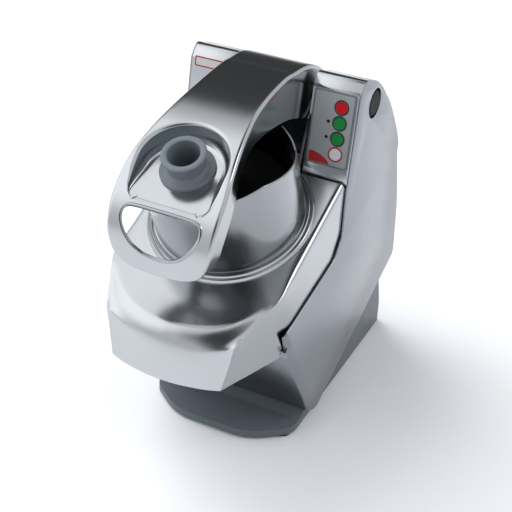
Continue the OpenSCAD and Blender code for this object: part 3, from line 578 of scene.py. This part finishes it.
@dataclass
class BoughtIn:
    """CAD nodes that get a finish on their own mesh, or on a rounded copy of it."""

    shop: Paintshop
    flat: float = radians(0.4)
    sharp: float = radians(38)
    looks: dict[Look, str] = field(default_factory=lambda: {
        Look.SATIN_STEEL: "left_pillar right_pillar rear_hood hopper_ring hinge_arms",
        # The side walls take the sheet whose darker tint is painted shade
        Look.WALL_STEEL: "body_shell rear_cover",
        Look.BRIGHT_STEEL: "hopper chamber_floor chamber_wall",
        Look.MILL_STEEL: "bottom_plate motor_plate lever_hinge_tube lever_shell cover_shell",
        Look.TOOL_STEEL: (
            "shaft_bearings hinge_rod drive_shaft cutting_disc disc_blade disc_nut motor_shaft"
        ),
        Look.ZINC: (
            "bearing_screws motor_bolts rear_cover_screws foot_bolts arm_rivets pusher_screws"
            " blade_screws"
        ),
        Look.CAST: "bearing_housing driven_pulley motor_pulley",
        Look.SLATE: "base_foot",
        Look.MOTOR_PAINT: "motor_shell motor_fan",
        # The channel's panel is painted near black as painted shade
        Look.DARK_SHEET: "channel_panel",
        Look.GREY_NYLON: "feed_tube",
        Look.BLACK_PLASTIC: (
            "knob_cup motor_end_bell indicator_lamps safety_switch switch_magnet pusher rod_knob"
            " cable_gland lever_bushes pillar_bushes"
        ),
        Look.WHITE_PLASTIC: "motor_capacitor ejector_disc",
        Look.RUBBER: "rubber_feet shaft_seal drive_belt",
        Look.PANEL_FRAME: "control_plate",
        Look.MEMBRANE: "control_overlay",
        Look.BOARD: "control_board",
        Look.RED_CAP: "stop_button",
        Look.GREEN_CAP: "start_button pulse_button",
        Look.WHITE_CAP: "ready_button",
    })

    def dress(self) -> None:
        """Paints every CAD node."""
        for look, names in self.looks.items():
            for name in names.split():
                self.shop.paint(frame["nodes"][name], look)
        LOG.info("painted %d CAD nodes", len(" ".join(self.looks.values()).split()))

    def rounded_copy(
        self, node: str, name: str, look: Look, width: float, segments: int,
        extra: Sequence[Piece] = (),
    ) -> None:
        """Replaces a CAD node by a copy with its sharp edges rounded.

        Args:
            node: The CAD node.
            name: The copy's name.
            look: Its finish.
            width: Width of the rounding in mm.
            segments: Faces across the rounding.
            extra: Pieces of the same sheet, in the row frame, that join the copy.
        """
        source = frame["nodes"][node]
        obj = add_object(name, source.data.copy())
        edit(
            obj,
            lambda: bpy.ops.mesh.remove_doubles(threshold=0.01 * MM),
            bpy.ops.mesh.customdata_custom_splitnormals_clear,
            lambda: bpy.ops.mesh.dissolve_limited(angle_limit=self.flat),
        )
        modify(
            obj, "BEVEL", width=width * MM, segments=segments, limit_method="ANGLE",
            angle_limit=self.sharp, use_clamp_overlap=True, miter_outer="MITER_ARC",
        )
        if extra:
            join([obj, *extra])
        self.shop.deliver(obj, look, source["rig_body"], node, 30.0, True)


@dataclass
class Casing:
    """The casing's walls, with the rounded corners that close up to the hood, pillars and foot.

    A corner wraps round less towards its top, so that the opening hood clears it.
    """

    bought: BoughtIn
    half: float = 126
    corner_r: float = 14
    lean: float = 33.0 / 238.0
    low: float = 199
    high: float = 237.4
    wrap: float = 64
    wrap_loss: float = 21
    brow_u: float = -33
    brow_fall: float = 0.1875
    steps: int = 8
    sheet: float = 1.2
    wall_edge: float = 0.6
    pillar_edge: float = 1.6
    foot_edge: float = 1.2
    hem_r: float = 1
    hem_inset: float = 0.05
    hem: Flat = (
        (-20, 235.6), (30, 226.2), (80, 216.8), (120.7, 209.2), (124, 208.9), (127, 209.2),
        (130, 209.9), (132.7, 211.1), (142, 216.2), (152.7, 222.1), (157, 225.4), (160.5, 230.5),
    )

    def hems(self) -> Piece:
        """Rolls the upper edges of both side walls, and returns the beads."""
        x = self.half - self.hem_r - self.hem_inset
        right = [(x, u, w) for u, w in self.hem]
        rows = (right, mirrored(right))
        return join([bead("casing_hems", row, self.hem_r, False) for row in rows])

    def corner(self, side: int) -> Piece:
        """Bends the upper end of one front corner.

        Args:
            side: 1 for the right one, -1 for the left one.

        Returns:
            The corner.
        """
        rows: list[Row] = []
        for j in range(self.steps + 1):
            share = j / self.steps
            level = self.low + (self.high - self.low) * share
            row: Row = []
            for k in range(self.steps + 1):
                turn = -radians((self.wrap - self.wrap_loss * share) * k / self.steps)
                x = self.half - self.corner_r * (1 - cos(turn))
                u = self.corner_r * (1 + sin(turn)) - level * self.lean
                w = level - max(u - self.brow_u, 0) * self.brow_fall * share
                row.append((side * x, u, w))
            rows.append(row)
        obj = sheetwork("casing_corner", [rows], [])
        thicken(obj, self.sheet, obj.data.polygons[0], (side, 0, 0), False)
        obj.data.transform(LEANING)
        return obj

    def build(self) -> None:
        """Builds and dresses the casing."""
        copy = self.bought.rounded_copy
        corners = [self.corner(1), self.corner(-1)]
        # The walls get the darker sheet, whose tint is painted shade
        copy("body_shell", "casing_walls", Look.WALL_STEEL, self.wall_edge, 2, corners)
        self.bought.shop.deliver(self.hems(), Look.BRIGHT_STEEL, "casing")
        for pillar in ("left_pillar", "right_pillar"):
            copy(pillar, f"{pillar}_sheet", Look.SATIN_STEEL, self.pillar_edge, 3)
        copy("base_foot", "foot_casting", Look.SLATE, self.foot_edge, 3)


@dataclass
class Panel:
    """What is printed on the membrane over the switches, and the bare plate beside it.

    Its pieces are drawn in the sloping face's own frame, with x across and y up along the face.
    """

    shop: Paintshop
    face: Pair = (187.0, 289.0)
    slope: Pair = (70.0, 110.0)
    top: float = 2.8
    ink_t: float = 0.12
    button_x: float = 102.5
    button_r: float = 8.5
    ring_w: float = 2
    ready_gap: float = 0.2
    first: float = 44.6
    pitch: float = 21.4
    badge: Flat = ((65.2, 43.5), (74, 42.4), (84, 39), (92, 34), (96, 28.6))
    badge_foot: Flat = ((66.5, 28.6), (65.2, 30))
    plate_box: Numbers = (-119, 118, -70, 132)
    plate_rim: float = 1.9
    frame_levels: Pair = (0.02, 0.4)
    plate_levels: Pair = (0.4, 0.55)

    def print_on(self, obj: Piece, look: Look) -> None:
        """Lays a printed area, drawn in the face's own frame, on the face."""
        turn = Matrix.Rotation(atan2(self.slope[1], self.slope[0]), 4, "X")
        obj.data.transform(Matrix.Translation((0, *self.face)) @ turn)
        self.shop.deliver(obj, look, "casing")

    def build(self) -> None:
        """Prints the rings and the membrane's corner, and sets the plate."""
        low, high = self.top, self.top + self.ink_t
        for place, name in (1, "pulse"), (2, "start"), (3, "stop"), (0, "ready"):
            gap, look = (0, Look.INK) if place else (self.ready_gap, Look.RED_INK)
            inner, outer = self.button_r + gap, self.button_r + self.ring_w
            profile = [(inner, low), (outer, low), (outer, high), (inner, high), (inner, low)]
            middle = (self.button_x, self.first + place * self.pitch, 0)
            self.print_on(turned(f"{name}_ring", profile, middle, (0, 0, 1)), look)
        outline = [*self.badge_foot, *through(self.badge, 6)]
        self.print_on(prism("membrane_corner", outline, low, high), Look.RED_INK)
        for name, inset, r, (low, high), look in (
            ("bare_plate_frame", 0, 1.5, self.frame_levels, Look.RED_INK),
            ("bare_plate", self.plate_rim, 1, self.plate_levels, Look.WHITE_PLASTIC),
        ):
            x0, y0, x1, y1 = (v + inset * way for v, way in zip(self.plate_box, (1, 1, -1, -1)))
            line = rounded([(x0, y0, r), (x1, y0, r), (x1, y1, r), (x0, y1, r)], 4)
            self.print_on(prism(name, line, low, high), look)


# The lever


class Crest:
    """The lever's crest in side view, with the way down its sides."""

    STEPS = 10

    def __init__(self, stations: Line, sink: float) -> None:
        """Draws the crest.

        Args:
            stations: Crest u, crest w, half width, and u and w of the side's lower edge.
            sink: Depth of the finished skin under the stations.
        """
        self.sink = sink
        self.line = through([(s[0], s[1], s[3], s[4]) for s in stations], self.STEPS)
        self.run = lengths([p[:2] for p in self.line])
        self.marks = self.run[::self.STEPS]

    def at(self, s: float) -> Numbers:
        """Returns crest u and w, and the side's lower u and w, at the length s."""
        return along(self.line, self.run, s)

    def length_at(self, u: float) -> float:
        """Returns the length along the crest at which it passes u."""
        for k in range(len(self.line) - 1):
            a, b = self.line[k][0], self.line[k + 1][0]
            if b <= u <= a:
                return self.run[k] + (a - u) / (a - b) * (self.run[k + 1] - self.run[k])
        return self.run[-1] if u < self.line[-1][0] else 0.0

    def height(self, u: float) -> float:
        """Returns the crest's w over u."""
        return self.at(self.length_at(u))[1]

    def point(self, x: float, s: float, depth: float = 0.0) -> Point:
        """Returns the point at x and s, sunk by depth along the side."""
        u, w, low_u, low_w = self.at(s)
        down = Vector((low_u - u, low_w - w)).normalized() * depth
        return (x, u + down.x, w + down.y - self.sink)

    def side(self, s: float) -> float:
        """Returns the height of the side at the length s."""
        u, w, low_u, low_w = self.at(min(s, self.run[-1]))
        return dist((u, w), (low_u, low_w))


@dataclass
class Lever:
    """The arched pressing with its slot, round recess, tube and drum.

    The stations hold crest u and w, half width, and u and w of the side's lower edge. The spoke's
    steps lie on the skin, over the lip, down the wall, round the fillet and on the floor. Lip and
    fillet are a radius each, and its largest share of the wall.
    """

    shop: Paintshop
    stations: Line = (
        (312.8, 367.9, 50, 300, 340), (298, 391, 50, 262, 345), (269, 421, 50, 240, 353),
        (232, 441.6, 49, 214, 375), (213.5, 451, 48.6, 194, 392), (174, 464.6, 49.4, 157, 416),
        (131, 476, 52, 114, 438), (96, 481, 56.5, 80, 450), (60, 482.4, 62.5, 52, 454),
        (22, 478, 69, 22, 448), (-5, 468, 72.5, 2, 440), (-33, 455, 73.5, -20, 428),
        (-52, 440, 72.5, -36, 416), (-66, 423, 70, -48, 404), (-78, 398, 59, -62, 390),
        (-83, 387, 34, -76, 384), (-83.8, 385, 0, -77, 382),
    )
    steps: int = 6
    neck_station: int = 7
    middle_station: int = 4
    columns: int = 16
    edge_r: float = 5
    sheet: float = 2.2
    sink: float = 0.35
    floor_w: float = 456
    recess_r: float = 57
    recess_u: float = 22
    recess_front: float = -31.5
    recess_steps: int = 60
    nose_in: float = 2
    nose_r: float = 16
    nose_steps: int = 10
    spoke_steps: tuple[int, ...] = (12, 5, 3, 6, 4)
    lip: Pair = (6, 0.4)
    fillet: Pair = (11, 0.5)
    draft: float = 0.3
    slot_half: Flat = (
        (0, -37.5), (24, -37.6), (43, -38.4), (50.5, -41), (53.4, -47), (52, -54), (46, -61.5),
        (35, -68), (19, -71.8),
    )
    slot_tip: float = -72.8
    slot_reach: Pair = (330.0, 520.0)
    bead_r: float = 2.3
    bead_grow: float = 1
    bead_sink: float = 0.6
    tube_u: float = 30
    tube_low: float = 290
    tube_rise: float = 30
    tube_r: Pair = (20.0, 22.4)
    hole_r: float = 22.6
    tube_rim: Flat = (
        (20, -2.6), (20.6, -1), (22, -0.2), (23.6, 0), (26.4, 0), (27.9, -0.7), (28.4, -2),
        (28, -3.2), (26, -4.2), (24.2, -5.6), (23.2, -8), (22.9, -11),
    )
    tube_foot: Flat = (
        (22.9, 11), (23.8, 7.6), (26.4, 5.4), (30.2, 4.5), (33.8, 4.1), (34.9, 3.2), (35, 2),
        (35, 0), (22.4, 0),
    )
    hinge: Pair = (293.7, 348.8)
    drum_r: float = 27
    drum_gap: float = 0.3
    drum_round: Pair = (1.5, 0.4)
    bore_r: float = 9.2
    turn_steps: int = 96

    def __post_init__(self) -> None:
        """Draws the crest."""
        self.crest = Crest(self.stations, self.sink)

    def outline(self) -> tuple[list[Vector], list[Vector]]:
        """Draws the pressing's outline, unrolled flat, from the right rear round the front.

        Returns:
            Points as x and length along the crest, and their outward directions.
        """
        half = [(s[2], mark) for s, mark in zip(self.stations, self.crest.marks)]
        both = half + [(-x, s) for x, s in half[-2::-1]]
        points = [Vector(p) for p in through(both, self.steps)]
        last = len(points) - 1
        runs = [points[min(k + 1, last)] - points[max(k - 1, 0)] for k in range(last + 1)]
        return points, [outward(run) for run in runs]

    def recess_outline(self) -> list[tuple[Vector, Vector]]:
        """Returns the recess' outline in plan, and its outward directions."""
        r, u, front, count = self.recess_r, self.recess_u, self.recess_front, self.recess_steps
        turns = [pi * k / count for k in range(count + 1)]
        rear = [(r * cos(a), u + r * sin(a)) for a in turns]
        x, arc = r - self.nose_in, self.nose_steps + 1
        corners = [(-r, u, 0.01), (-x, front, self.nose_r), (x, front, self.nose_r), (r, u, 0.01)]
        nose = rounded(corners, self.nose_steps)[arc:3 * arc]
        points = [Vector(p) for p in rear + nose]
        runs = [points[(k + 1) % len(points)] - points[k - 1] for k in range(len(points))]
        return [(p, outward(run)) for p, run in zip(points, runs)]

    def recess_edge(
        self, ray: Vector, outline: list[tuple[Vector, Vector]],
    ) -> tuple[Vector, Vector]:
        """Finds where a ray from the tube's middle meets the recess' outline.

        Args:
            ray: Direction in plan.
            outline: The recess' outline.

        Returns:
            The point and the outline's outward direction there.
        """
        start = Vector((0, self.tube_u))
        for k in range(len(outline)):
            (a, out_a), (b, out_b) = outline[k - 1], outline[k]
            edge = b - a
            det = ray.x * -edge.y + edge.x * ray.y
            if abs(det) < 1e-9:
                continue
            rel = a - start
            far = (rel.x * -edge.y + edge.x * rel.y) / det
            share = (ray.x * rel.y - ray.y * rel.x) / det
            if far > 0 and -1e-6 <= share <= 1 + 1e-6:
                return a + edge * share, out_a.lerp(out_b, share).normalized()
        raise ValueError("the ray misses the recess")

    def spoke(self, rim: Pair, outline: list[tuple[Vector, Vector]]) -> Row:
        """Draws one line from the pressing's rim over the recess' lip to the tube's hole.

        Args:
            rim: Across, and length along the crest, at the rim.
            outline: The recess' outline.

        Returns:
            The line's points, from the rim inwards.
        """
        crest = self.crest
        ray = (Vector((rim[0], crest.at(rim[1])[0])) - Vector((0, self.tube_u))).normalized()
        edge, out = self.recess_edge(ray, outline)
        wall = max(crest.height(edge.y) - self.floor_w, 0.0)
        lip, fillet = (min(r, share * wall) for r, share in (self.lip, self.fillet))
        skin, over, down, turn, flat = self.spoke_steps
        start = edge + out * lip
        end = (start.x, crest.length_at(start.y))
        row = [crest.point(*mix(rim, end, k / skin)) for k in range(skin + 1)]
        for sine, cosine in quarter(over)[1:]:
            p = edge + out * lip * (1 - sine)
            row.append((p.x, p.y, crest.height(p.y) - lip * (1 - cosine)))
        top, low = crest.height(edge.y) - lip, self.floor_w + fillet
        draft = out * self.draft
        for k in range(1, down + 1):
            p = edge - draft * (top - low) * k / down
            row.append((p.x, p.y, top + (low - top) * k / down))
        foot = edge - draft * (top - low)
        for sine, cosine in quarter(turn)[1:]:
            p = foot - out * fillet * (1 - cosine)
            row.append((p.x, p.y, self.floor_w + fillet * (1 - sine)))
        last = row[-1]
        hole = (ray.x * self.hole_r, self.tube_u + ray.y * self.hole_r, self.floor_w)
        return row + [mix(last, hole, k / flat) for k in range(1, flat + 1)]

    def arch(self) -> Piece:
        """Presses the arch with its sides, recess and slot, and returns it."""
        crest, (points, out) = self.crest, self.outline()
        inner = [p - n * self.edge_r for p, n in zip(points, out)]
        sides: list[Row] = []
        for p, n in zip(inner, out):
            row: Row = []
            for sine, cosine in quarter(6):
                q = p + n * self.edge_r * sine
                row.append(crest.point(q.x, q.y, self.edge_r * (1 - cosine)))
            rim, rest = p + n * self.edge_r, crest.side(p.y) - self.edge_r
            row += [crest.point(rim.x, rim.y, self.edge_r + rest * k / 4) for k in range(1, 5)]
            sides.append(row)
        neck, wide = self.steps * self.neck_station, self.columns
        ladder = [
            [crest.point(p.x * (1 - 2 * c / wide), p.y) for c in range(wide + 1)]
            for p in inner[:neck + 1]
        ]
        rims = [(p.x, p.y) for p in inner[neck:len(inner) - neck]]
        x, s = inner[neck]
        rims += [(x * (2 * c / wide - 1), s) for c in range(1, wide)]
        recess = self.recess_outline()
        spokes = [self.spoke(rim, recess) for rim in rims]
        head = [list(row) for row in zip(*spokes)]
        obj = sheetwork("lever_arch", [sides, ladder], [head])
        back = Vector(crest.point(0, crest.marks[self.middle_station]))
        nearest = min(obj.data.polygons, key=lambda f: (f.center - back).length)
        thicken(obj, self.sheet, nearest, (0, 0, 1))
        cut(obj, prism("slot_tool", self.slot(), *self.slot_reach))
        return obj

    def slot(self, grow: float = 0.0) -> list[Pair]:
        """Returns the hand slot's outline in plan, grown outwards."""
        left = [(-x, u) for x, u in self.slot_half[:0:-1]]
        line = through([*left, *self.slot_half, (0, self.slot_tip), left[0]], 6)
        count, out = len(line) - 1, []
        for k in range(count):
            (ax, au), (bx, bu) = line[k - 1], line[(k + 1) % count]
            away = Vector((au - bu, bx - ax)).normalized() * grow
            out.append((line[k][0] + away.x, line[k][1] + away.y))
        return out

    def slot_bead(self) -> Piece:
        """Rolls the slot's edge, and returns the bead."""
        crest, outline = self.crest, self.slot(self.bead_grow)
        row = [crest.point(x, crest.length_at(u), self.bead_sink) for x, u in outline]
        return bead("lever_slot_bead", row, self.bead_r)

    def funnel(self) -> Piece:
        """Turns the feed tube with its foot and rolled rim."""
        (bore, out), low, floor = self.tube_r, self.tube_low, self.floor_w
        rim = [(r, floor + self.tube_rise + h) for r, h in self.tube_rim]
        foot = [(r, floor + h) for r, h in self.tube_foot]
        profile = [(bore, low), *rim, *foot, (out, low), (bore, low)]
        return turned("feed_funnel", profile, (0, self.tube_u, 0), (0, 0, 1), self.turn_steps)

    def drum(self) -> Piece:
        """Turns the drum round the hinge."""
        r, wide, (edge, nick) = self.drum_r, self.stations[0][2] - self.drum_gap, self.drum_round
        half = [(r, wide - edge), (r - nick, wide - nick), (r - edge, wide), (self.bore_r, wide)]
        profile = [(x, -h) for x, h in half[::-1]] + half
        return turned("lever_drum", profile, (0, *self.hinge), (1, 0, 0), self.turn_steps)

    def build(self) -> None:
        """Builds and dresses the lever."""
        arch = join([self.arch(), self.drum()])
        self.shop.deliver(arch, Look.SATIN_STEEL, "lever", "lever_shell", 40)
        self.shop.deliver(self.slot_bead(), Look.BRIGHT_STEEL, "lever")
        self.shop.deliver(self.funnel(), Look.GREY_NYLON, "lever", "feed_tube", 30)


# The cover


@dataclass
class Cover:
    """The deck and discharge hood, pressed as one shell, and the bowl on it.

    Fold, crease and lip bound the nose: the fold is drawn in plan on the deck, the crease in side
    view down the wall, and the lip in plan. The nose holds the handles of its rounding.
    """

    shop: Paintshop
    deck_w: float = 299
    half: float = 122.5
    turn: Pair = (2.0, -28.0)
    crease_r: float = 0.9
    casing_u: float = -31
    taper: float = 0.382
    rear_u: float = 186
    tongue: Pair = (56.0, 216.0)
    floor_w: float = 206
    edge_r: float = 8
    edge_ease: float = 60
    sheet: float = 1.8
    crown: float = 0.022
    hole_r: float = 100
    ring_r: float = 113
    disc_u: float = 90
    lip_z: float = 186
    across: int = 28
    down: int = 26
    fold: Flat = (
        (114, -29.6), (108, -34.5), (91, -53), (74, -66), (54, -76), (24, -84.5), (0, -87),
    )
    crease: Flat = (
        (-29.6, 299), (-41, 297.4), (-52.8, 294.6), (-71.5, 290.2), (-86, 287.6), (-91.4, 286.2),
        (-93.6, 282.4), (-100.8, 267.6), (-111.8, 249.3), (-124.6, 230),
    )
    lip: Flat = ((79, -124.6), (62, -130.8), (41, -135.5), (20, -138.6), (0, -139.5))
    nose: Flat = ((0, 0), (0.43, 0), (0.74, 0.49), (1, 1))
    rim_line: Numbers = (99, 438, 48, 95, 40)
    rim_sink: float = 0.6
    rim_bead: float = 1.5
    rim_steps: int = 160

    def level(self, u: float) -> float:
        """Returns the w of the lip's level plane over u."""
        return (self.lip_z - BASE_H - u * sin(LEAN)) / cos(LEAN)

    def wall_x(self, u: float) -> float:
        """Returns the half width of the walls at u."""
        start, end = self.turn
        run = min(max(start - u, 0), start - end)
        return self.half - self.taper * (run * run / 2 / (start - end) + max(end - u, 0))

    def nose_rows(self) -> list[Row]:
        """Draws the nose in rows from the right wall to the left one, each from fold to lip."""
        fold, lip = (sample(through(line), self.across) for line in (self.fold, self.lip))
        crease = sample(self.crease, self.down)
        (u0, w0), (u1, w1) = self.crease[0], self.crease[-1]
        right: list[Row] = []
        for i in range(self.across + 1):
            t = 1 - (1 - i / self.across) ** 3
            low = self.level(lip[i][1])
            row: Row = []
            for j, (u, w) in enumerate(crease):
                v = j / self.down
                weights = ((1 - v) ** 3, 3 * v * (1 - v) ** 2, 3 * v * v * (1 - v), v ** 3)
                forward, drop = (sum(c * q[k] for c, q in zip(weights, self.nose)) for k in (0, 1))
                a = (u0 - u) / (u0 - u1) * (1 - t) + forward * t
                b = (w0 - w) / (w0 - w1) * (1 - t) + drop * t
                x, y = mix(fold[i], lip[i], a)
                if i == 0:
                    x, y = self.wall_x(u) - self.crease_r, u
                row.append((x, y, self.deck_w - b * (self.deck_w - low)))
            right.append(row)
        return right + [mirrored(row) for row in right[-2::-1]]

    def low_edge(self, u: float) -> float:
        """Returns the w of the walls' lower edge: level outside the casing, higher inside it."""
        return self.level(u) if u < self.casing_u else max(self.level(u), self.floor_w)

    def walls(self) -> list[Row]:
        """Draws the right wall with its rounded upper edge, from rear to front."""
        start, front = self.rear_u - self.turn[0], self.crease[0][0]
        back = [*(self.rear_u - start * k / 10 for k in range(11)), *range(-4, -25, -5)]
        line = [(u, self.deck_w) for u in back] + sample(self.crease, self.down)
        rows: list[Row] = []
        for k, (u, w) in enumerate(line):
            (au, aw), (bu, bw) = line[max(k - 1, 0)], line[min(k + 1, len(line) - 1)]
            up = Vector((bw - aw, au - bu)).normalized()
            r = max(self.edge_r * min((u - front) / self.edge_ease, 1), self.crease_r)
            x, row = self.wall_x(u), []
            for sine, cosine in quarter(6):
                side, rise = sine - 1, cosine - 1
                row.append((x + r * side, u + up.x * r * rise, w + up.y * r * rise))
            foot = min(self.low_edge(u), row[-1][2])
            rows.append(row + [mix(row[-1], (x, row[-1][1], foot), j / 3) for j in (1, 2, 3)])
        return rows

    def shell(self) -> Piece:
        """Presses the shell and returns it."""
        nose, right = self.nose_rows(), self.walls()
        left = [mirrored(row) for row in right]
        edge = [row[0] for row in right[:-self.down - 1]]
        fold = [row[0] for row in nose]
        x, end = self.tongue
        rear = [edge[0], (x, self.rear_u, self.deck_w), (x, end, self.deck_w)]
        rear += mirrored(rear[::-1])
        runs = [sample(rear[k:k + 2], 14 if k == 2 else 6)[:-1] for k in range(5)]
        outline = edge + fold + mirrored(edge[::-1]) + [p for run in runs for p in run][::-1]
        obj = sheetwork("cover_hood", [nose, right, left], [self.deck(outline)])
        top = max(obj.data.polygons, key=lambda f: f.center.z - abs(f.center.x) / 10)
        thicken(obj, self.sheet, top, (0, 0, 1))
        return obj

    def deck(self, outline: Row, steps: int = 8) -> list[Row]:
        """Draws the deck from the bowl's hole outwards, crowned in front of the bowl's ring.

        Args:
            outline: The deck's closed outline.
            steps: Pieces between the ring and the outline.

        Returns:
            Closed rows from the hole outwards.
        """
        centre, rows = Vector((0, self.disc_u)), []
        for k in range(-1, steps + 1):
            row: Row = []
            for x, u, _ in outline:
                away = Vector((x, u)) - centre
                reach = max(away.length - self.ring_r, 0)
                far = self.hole_r if k < 0 else self.ring_r + reach * k / steps
                p = centre + away.normalized() * min(far, away.length)
                rise = 0.0
                if k > 0 and u < self.disc_u:
                    rise = self.crown * reach * sin(pi * k / steps)
                row.append((p.x, p.y, self.deck_w + rise))
            rows.append(row)
        rows[-1] = list(outline)
        return rows

    def rim(self) -> Piece:
        """Rolls the bowl's slanting rim."""
        r, high, start, run, fall = self.rim_line
        points: Row = []
        for k in range(self.rim_steps):
            a = tau * k / self.rim_steps
            u = self.disc_u + r * sin(a)
            w = high - min(max((u - start) / run, 0), 1) * fall
            points.append((r * cos(a), u, w - self.rim_sink))
        return bead("bowl_rim_bead", points, self.rim_bead)

    def build(self) -> None:
        """Builds and dresses the cover."""
        self.shop.deliver(self.shell(), Look.SATIN_STEEL, "cover", "cover_shell", 32)
        self.shop.deliver(self.rim(), Look.BRIGHT_STEEL, "cover")


# Studio


@dataclass(frozen=True)
class Card:
    """A soft light or dark area of the room, seen in the steel.

    Attributes:
        towards: Direction to its middle.
        inner: Half angle of its even part, in degrees.
        outer: Half angle at which it ends.
        tone: Its brightness.
    """

    towards: Point
    inner: float
    outer: float
    tone: float


@dataclass
class Studio:
    """Floor, world, lamp and camera.

    The floor and the room have one tone that lights the machine and one that is seen.
    """

    cards: tuple[Card, ...] = (
        Card((-0.75, -0.35, 0.55), 14, 42, 1.6),
        Card((-0.36, 0.30, 0.88), 8, 26, 1.4),
        Card((-0.36, 0.80, 0.46), 18, 40, 0.06),
        Card((0.25, -0.8, 0.45), 10, 30, 0.06),
        Card((0.10, 0.20, 0.97), 10, 27, 0.05),
        Card((0.66, 0.26, 0.70), 6, 17, 3.2),
    )
    card_cast: Numbers = (1.0, 1.01, 1.03)
    room_low: Numbers = (0.74, 0.75, 0.77, 1.0)
    room_high: Numbers = (0.86, 0.87, 0.88, 1.0)
    room_top: float = 0.9
    floor_light: Numbers = (0.74, 0.76, 0.79, 1.0)
    floor_seen: Numbers = (1.01, 1.02, 1.045, 1.0)
    floor_size: float = 14
    key_place: Numbers = (-1.5, 0.5, 2.4)
    key_aim: Numbers = (0.0, 0.0, 0.2)
    key_size: float = 2.2
    key_watts: float = 44
    azimuth: float = 25.49
    elevation: float = 32.5
    roll: float = 2.35
    distance: float = 1.7088
    target: Numbers = (0.00937, -0.00044, 0.23496)
    lens: float = 85.61
    sensor: float = 36

    def camera(self) -> None:
        """Puts the camera at the photograph's place."""
        data = bpy.data.cameras.new("camera")
        data.lens, data.sensor_width = self.lens, self.sensor
        camera = add_object("camera", data)
        a, e, r = (radians(v) for v in (self.azimuth, self.elevation, self.roll))
        back = Vector((sin(a) * cos(e), -cos(a) * cos(e), sin(e)))
        right = Vector((cos(a), sin(a), 0))
        up = back.cross(right)
        c, s = cos(r), sin(r)
        right, up = right * c + up * s, up * c - right * s
        place = Matrix((right, up, back)).transposed().to_4x4()
        place.translation = Vector(self.target) + back * self.distance
        camera.matrix_world = place
        bpy.context.scene.camera = camera

    def floor(self) -> None:
        """Lays a wide pale floor that keeps the shadow."""
        bpy.ops.mesh.primitive_plane_add(size=self.floor_size)
        floor = bpy.context.object
        floor.name = "floor"
        material = bpy.data.materials.new("studio_floor")
        tree = fresh_tree(material)
        path = add_node(tree, "LightPath")
        seen = (path, "Is Camera Ray")
        for ray in ("Is Glossy Ray", "Is Transmission Ray"):
            either = {"operation": "ADD", "use_clamp": True}
            seen = (add_node(tree, "Math", either, {0: seen, 1: (path, ray)}), 0)
        tones = {"data_type": "RGBA", 6: self.floor_light, 7: self.floor_seen}
        colour = add_node(tree, "Mix", tones, {0: seen})
        diffuse = add_node(tree, "BsdfDiffuse", None, {"Color": (colour, 2)})
        add_node(tree, "OutputMaterial", None, {"Surface": (diffuse, 0)})
        floor.data.materials.append(material)

    def world(self) -> None:
        """Sets the room: the camera sees it white, and the steel sees it pale, with the cards."""
        world = bpy.data.worlds.new("studio")
        bpy.context.scene.world = world
        tree = fresh_tree(world)
        place = add_node(tree, "TexCoord")
        split = add_node(tree, "SeparateXYZ", None, {0: (place, "Generated")})
        height = add_node(tree, "ValToRGB", None, {0: (split, "Z")})
        low, high = height.color_ramp.elements
        low.position, low.color = 0, self.room_low
        high.position, high.color = self.room_top, self.room_high
        room = (height, 0)
        for card in self.cards:
            inner, outer = (cos(radians(v)) for v in (card.inner, card.outer))
            way = {"operation": "DOT_PRODUCT", 1: Vector(card.towards).normalized()}
            near = add_node(tree, "VectorMath", way, {0: (place, "Generated")})
            edge = {"interpolation_type": "SMOOTHSTEP", "From Min": outer, "From Max": inner}
            fade = add_node(tree, "MapRange", edge, {"Value": (near, "Value")})
            tone = {"data_type": "RGBA", 7: (*(card.tone * cast for cast in self.card_cast), 1)}
            room = (add_node(tree, "Mix", tone, {0: (fade, 0), 6: room}), 2)
        path, white = add_node(tree, "LightPath"), {"data_type": "RGBA", 7: (1, 1, 1, 1)}
        seen = add_node(tree, "Mix", white, {0: (path, "Is Camera Ray"), 6: room})
        light = add_node(tree, "Background", {"Strength": 1.0}, {"Color": (seen, 2)})
        add_node(tree, "OutputWorld", None, {"Surface": (light, 0)})

    def key(self) -> None:
        """Hangs the soft box that lights the machine and isn't mirrored in it."""
        data = bpy.data.lights.new("key", "AREA")
        data.shape, data.size, data.energy = "SQUARE", self.key_size, self.key_watts
        lamp = add_object("key", data)
        lamp.location = self.key_place
        lamp.visible_glossy = False
        aim = Vector(self.key_aim) - Vector(self.key_place)
        lamp.rotation_euler = aim.to_track_quat("-Z", "Y").to_euler()

    def build(self) -> None:
        """Sets up the whole studio."""
        self.camera()
        self.floor()
        self.world()
        self.key()
        bpy.context.scene.view_settings.view_transform = "Standard"


def main() -> None:
    """Builds the machine in order and reports each piece."""
    logging.basicConfig(level=logging.INFO, format="%(message)s")
    Studio().build()
    shop = Paintshop()
    bought = BoughtIn(shop)
    bought.dress()
    Casing(bought).build()
    Panel(shop).build()
    Lever(shop).build()
    Cover(shop).build()


if __name__ == "__main__":
    main()
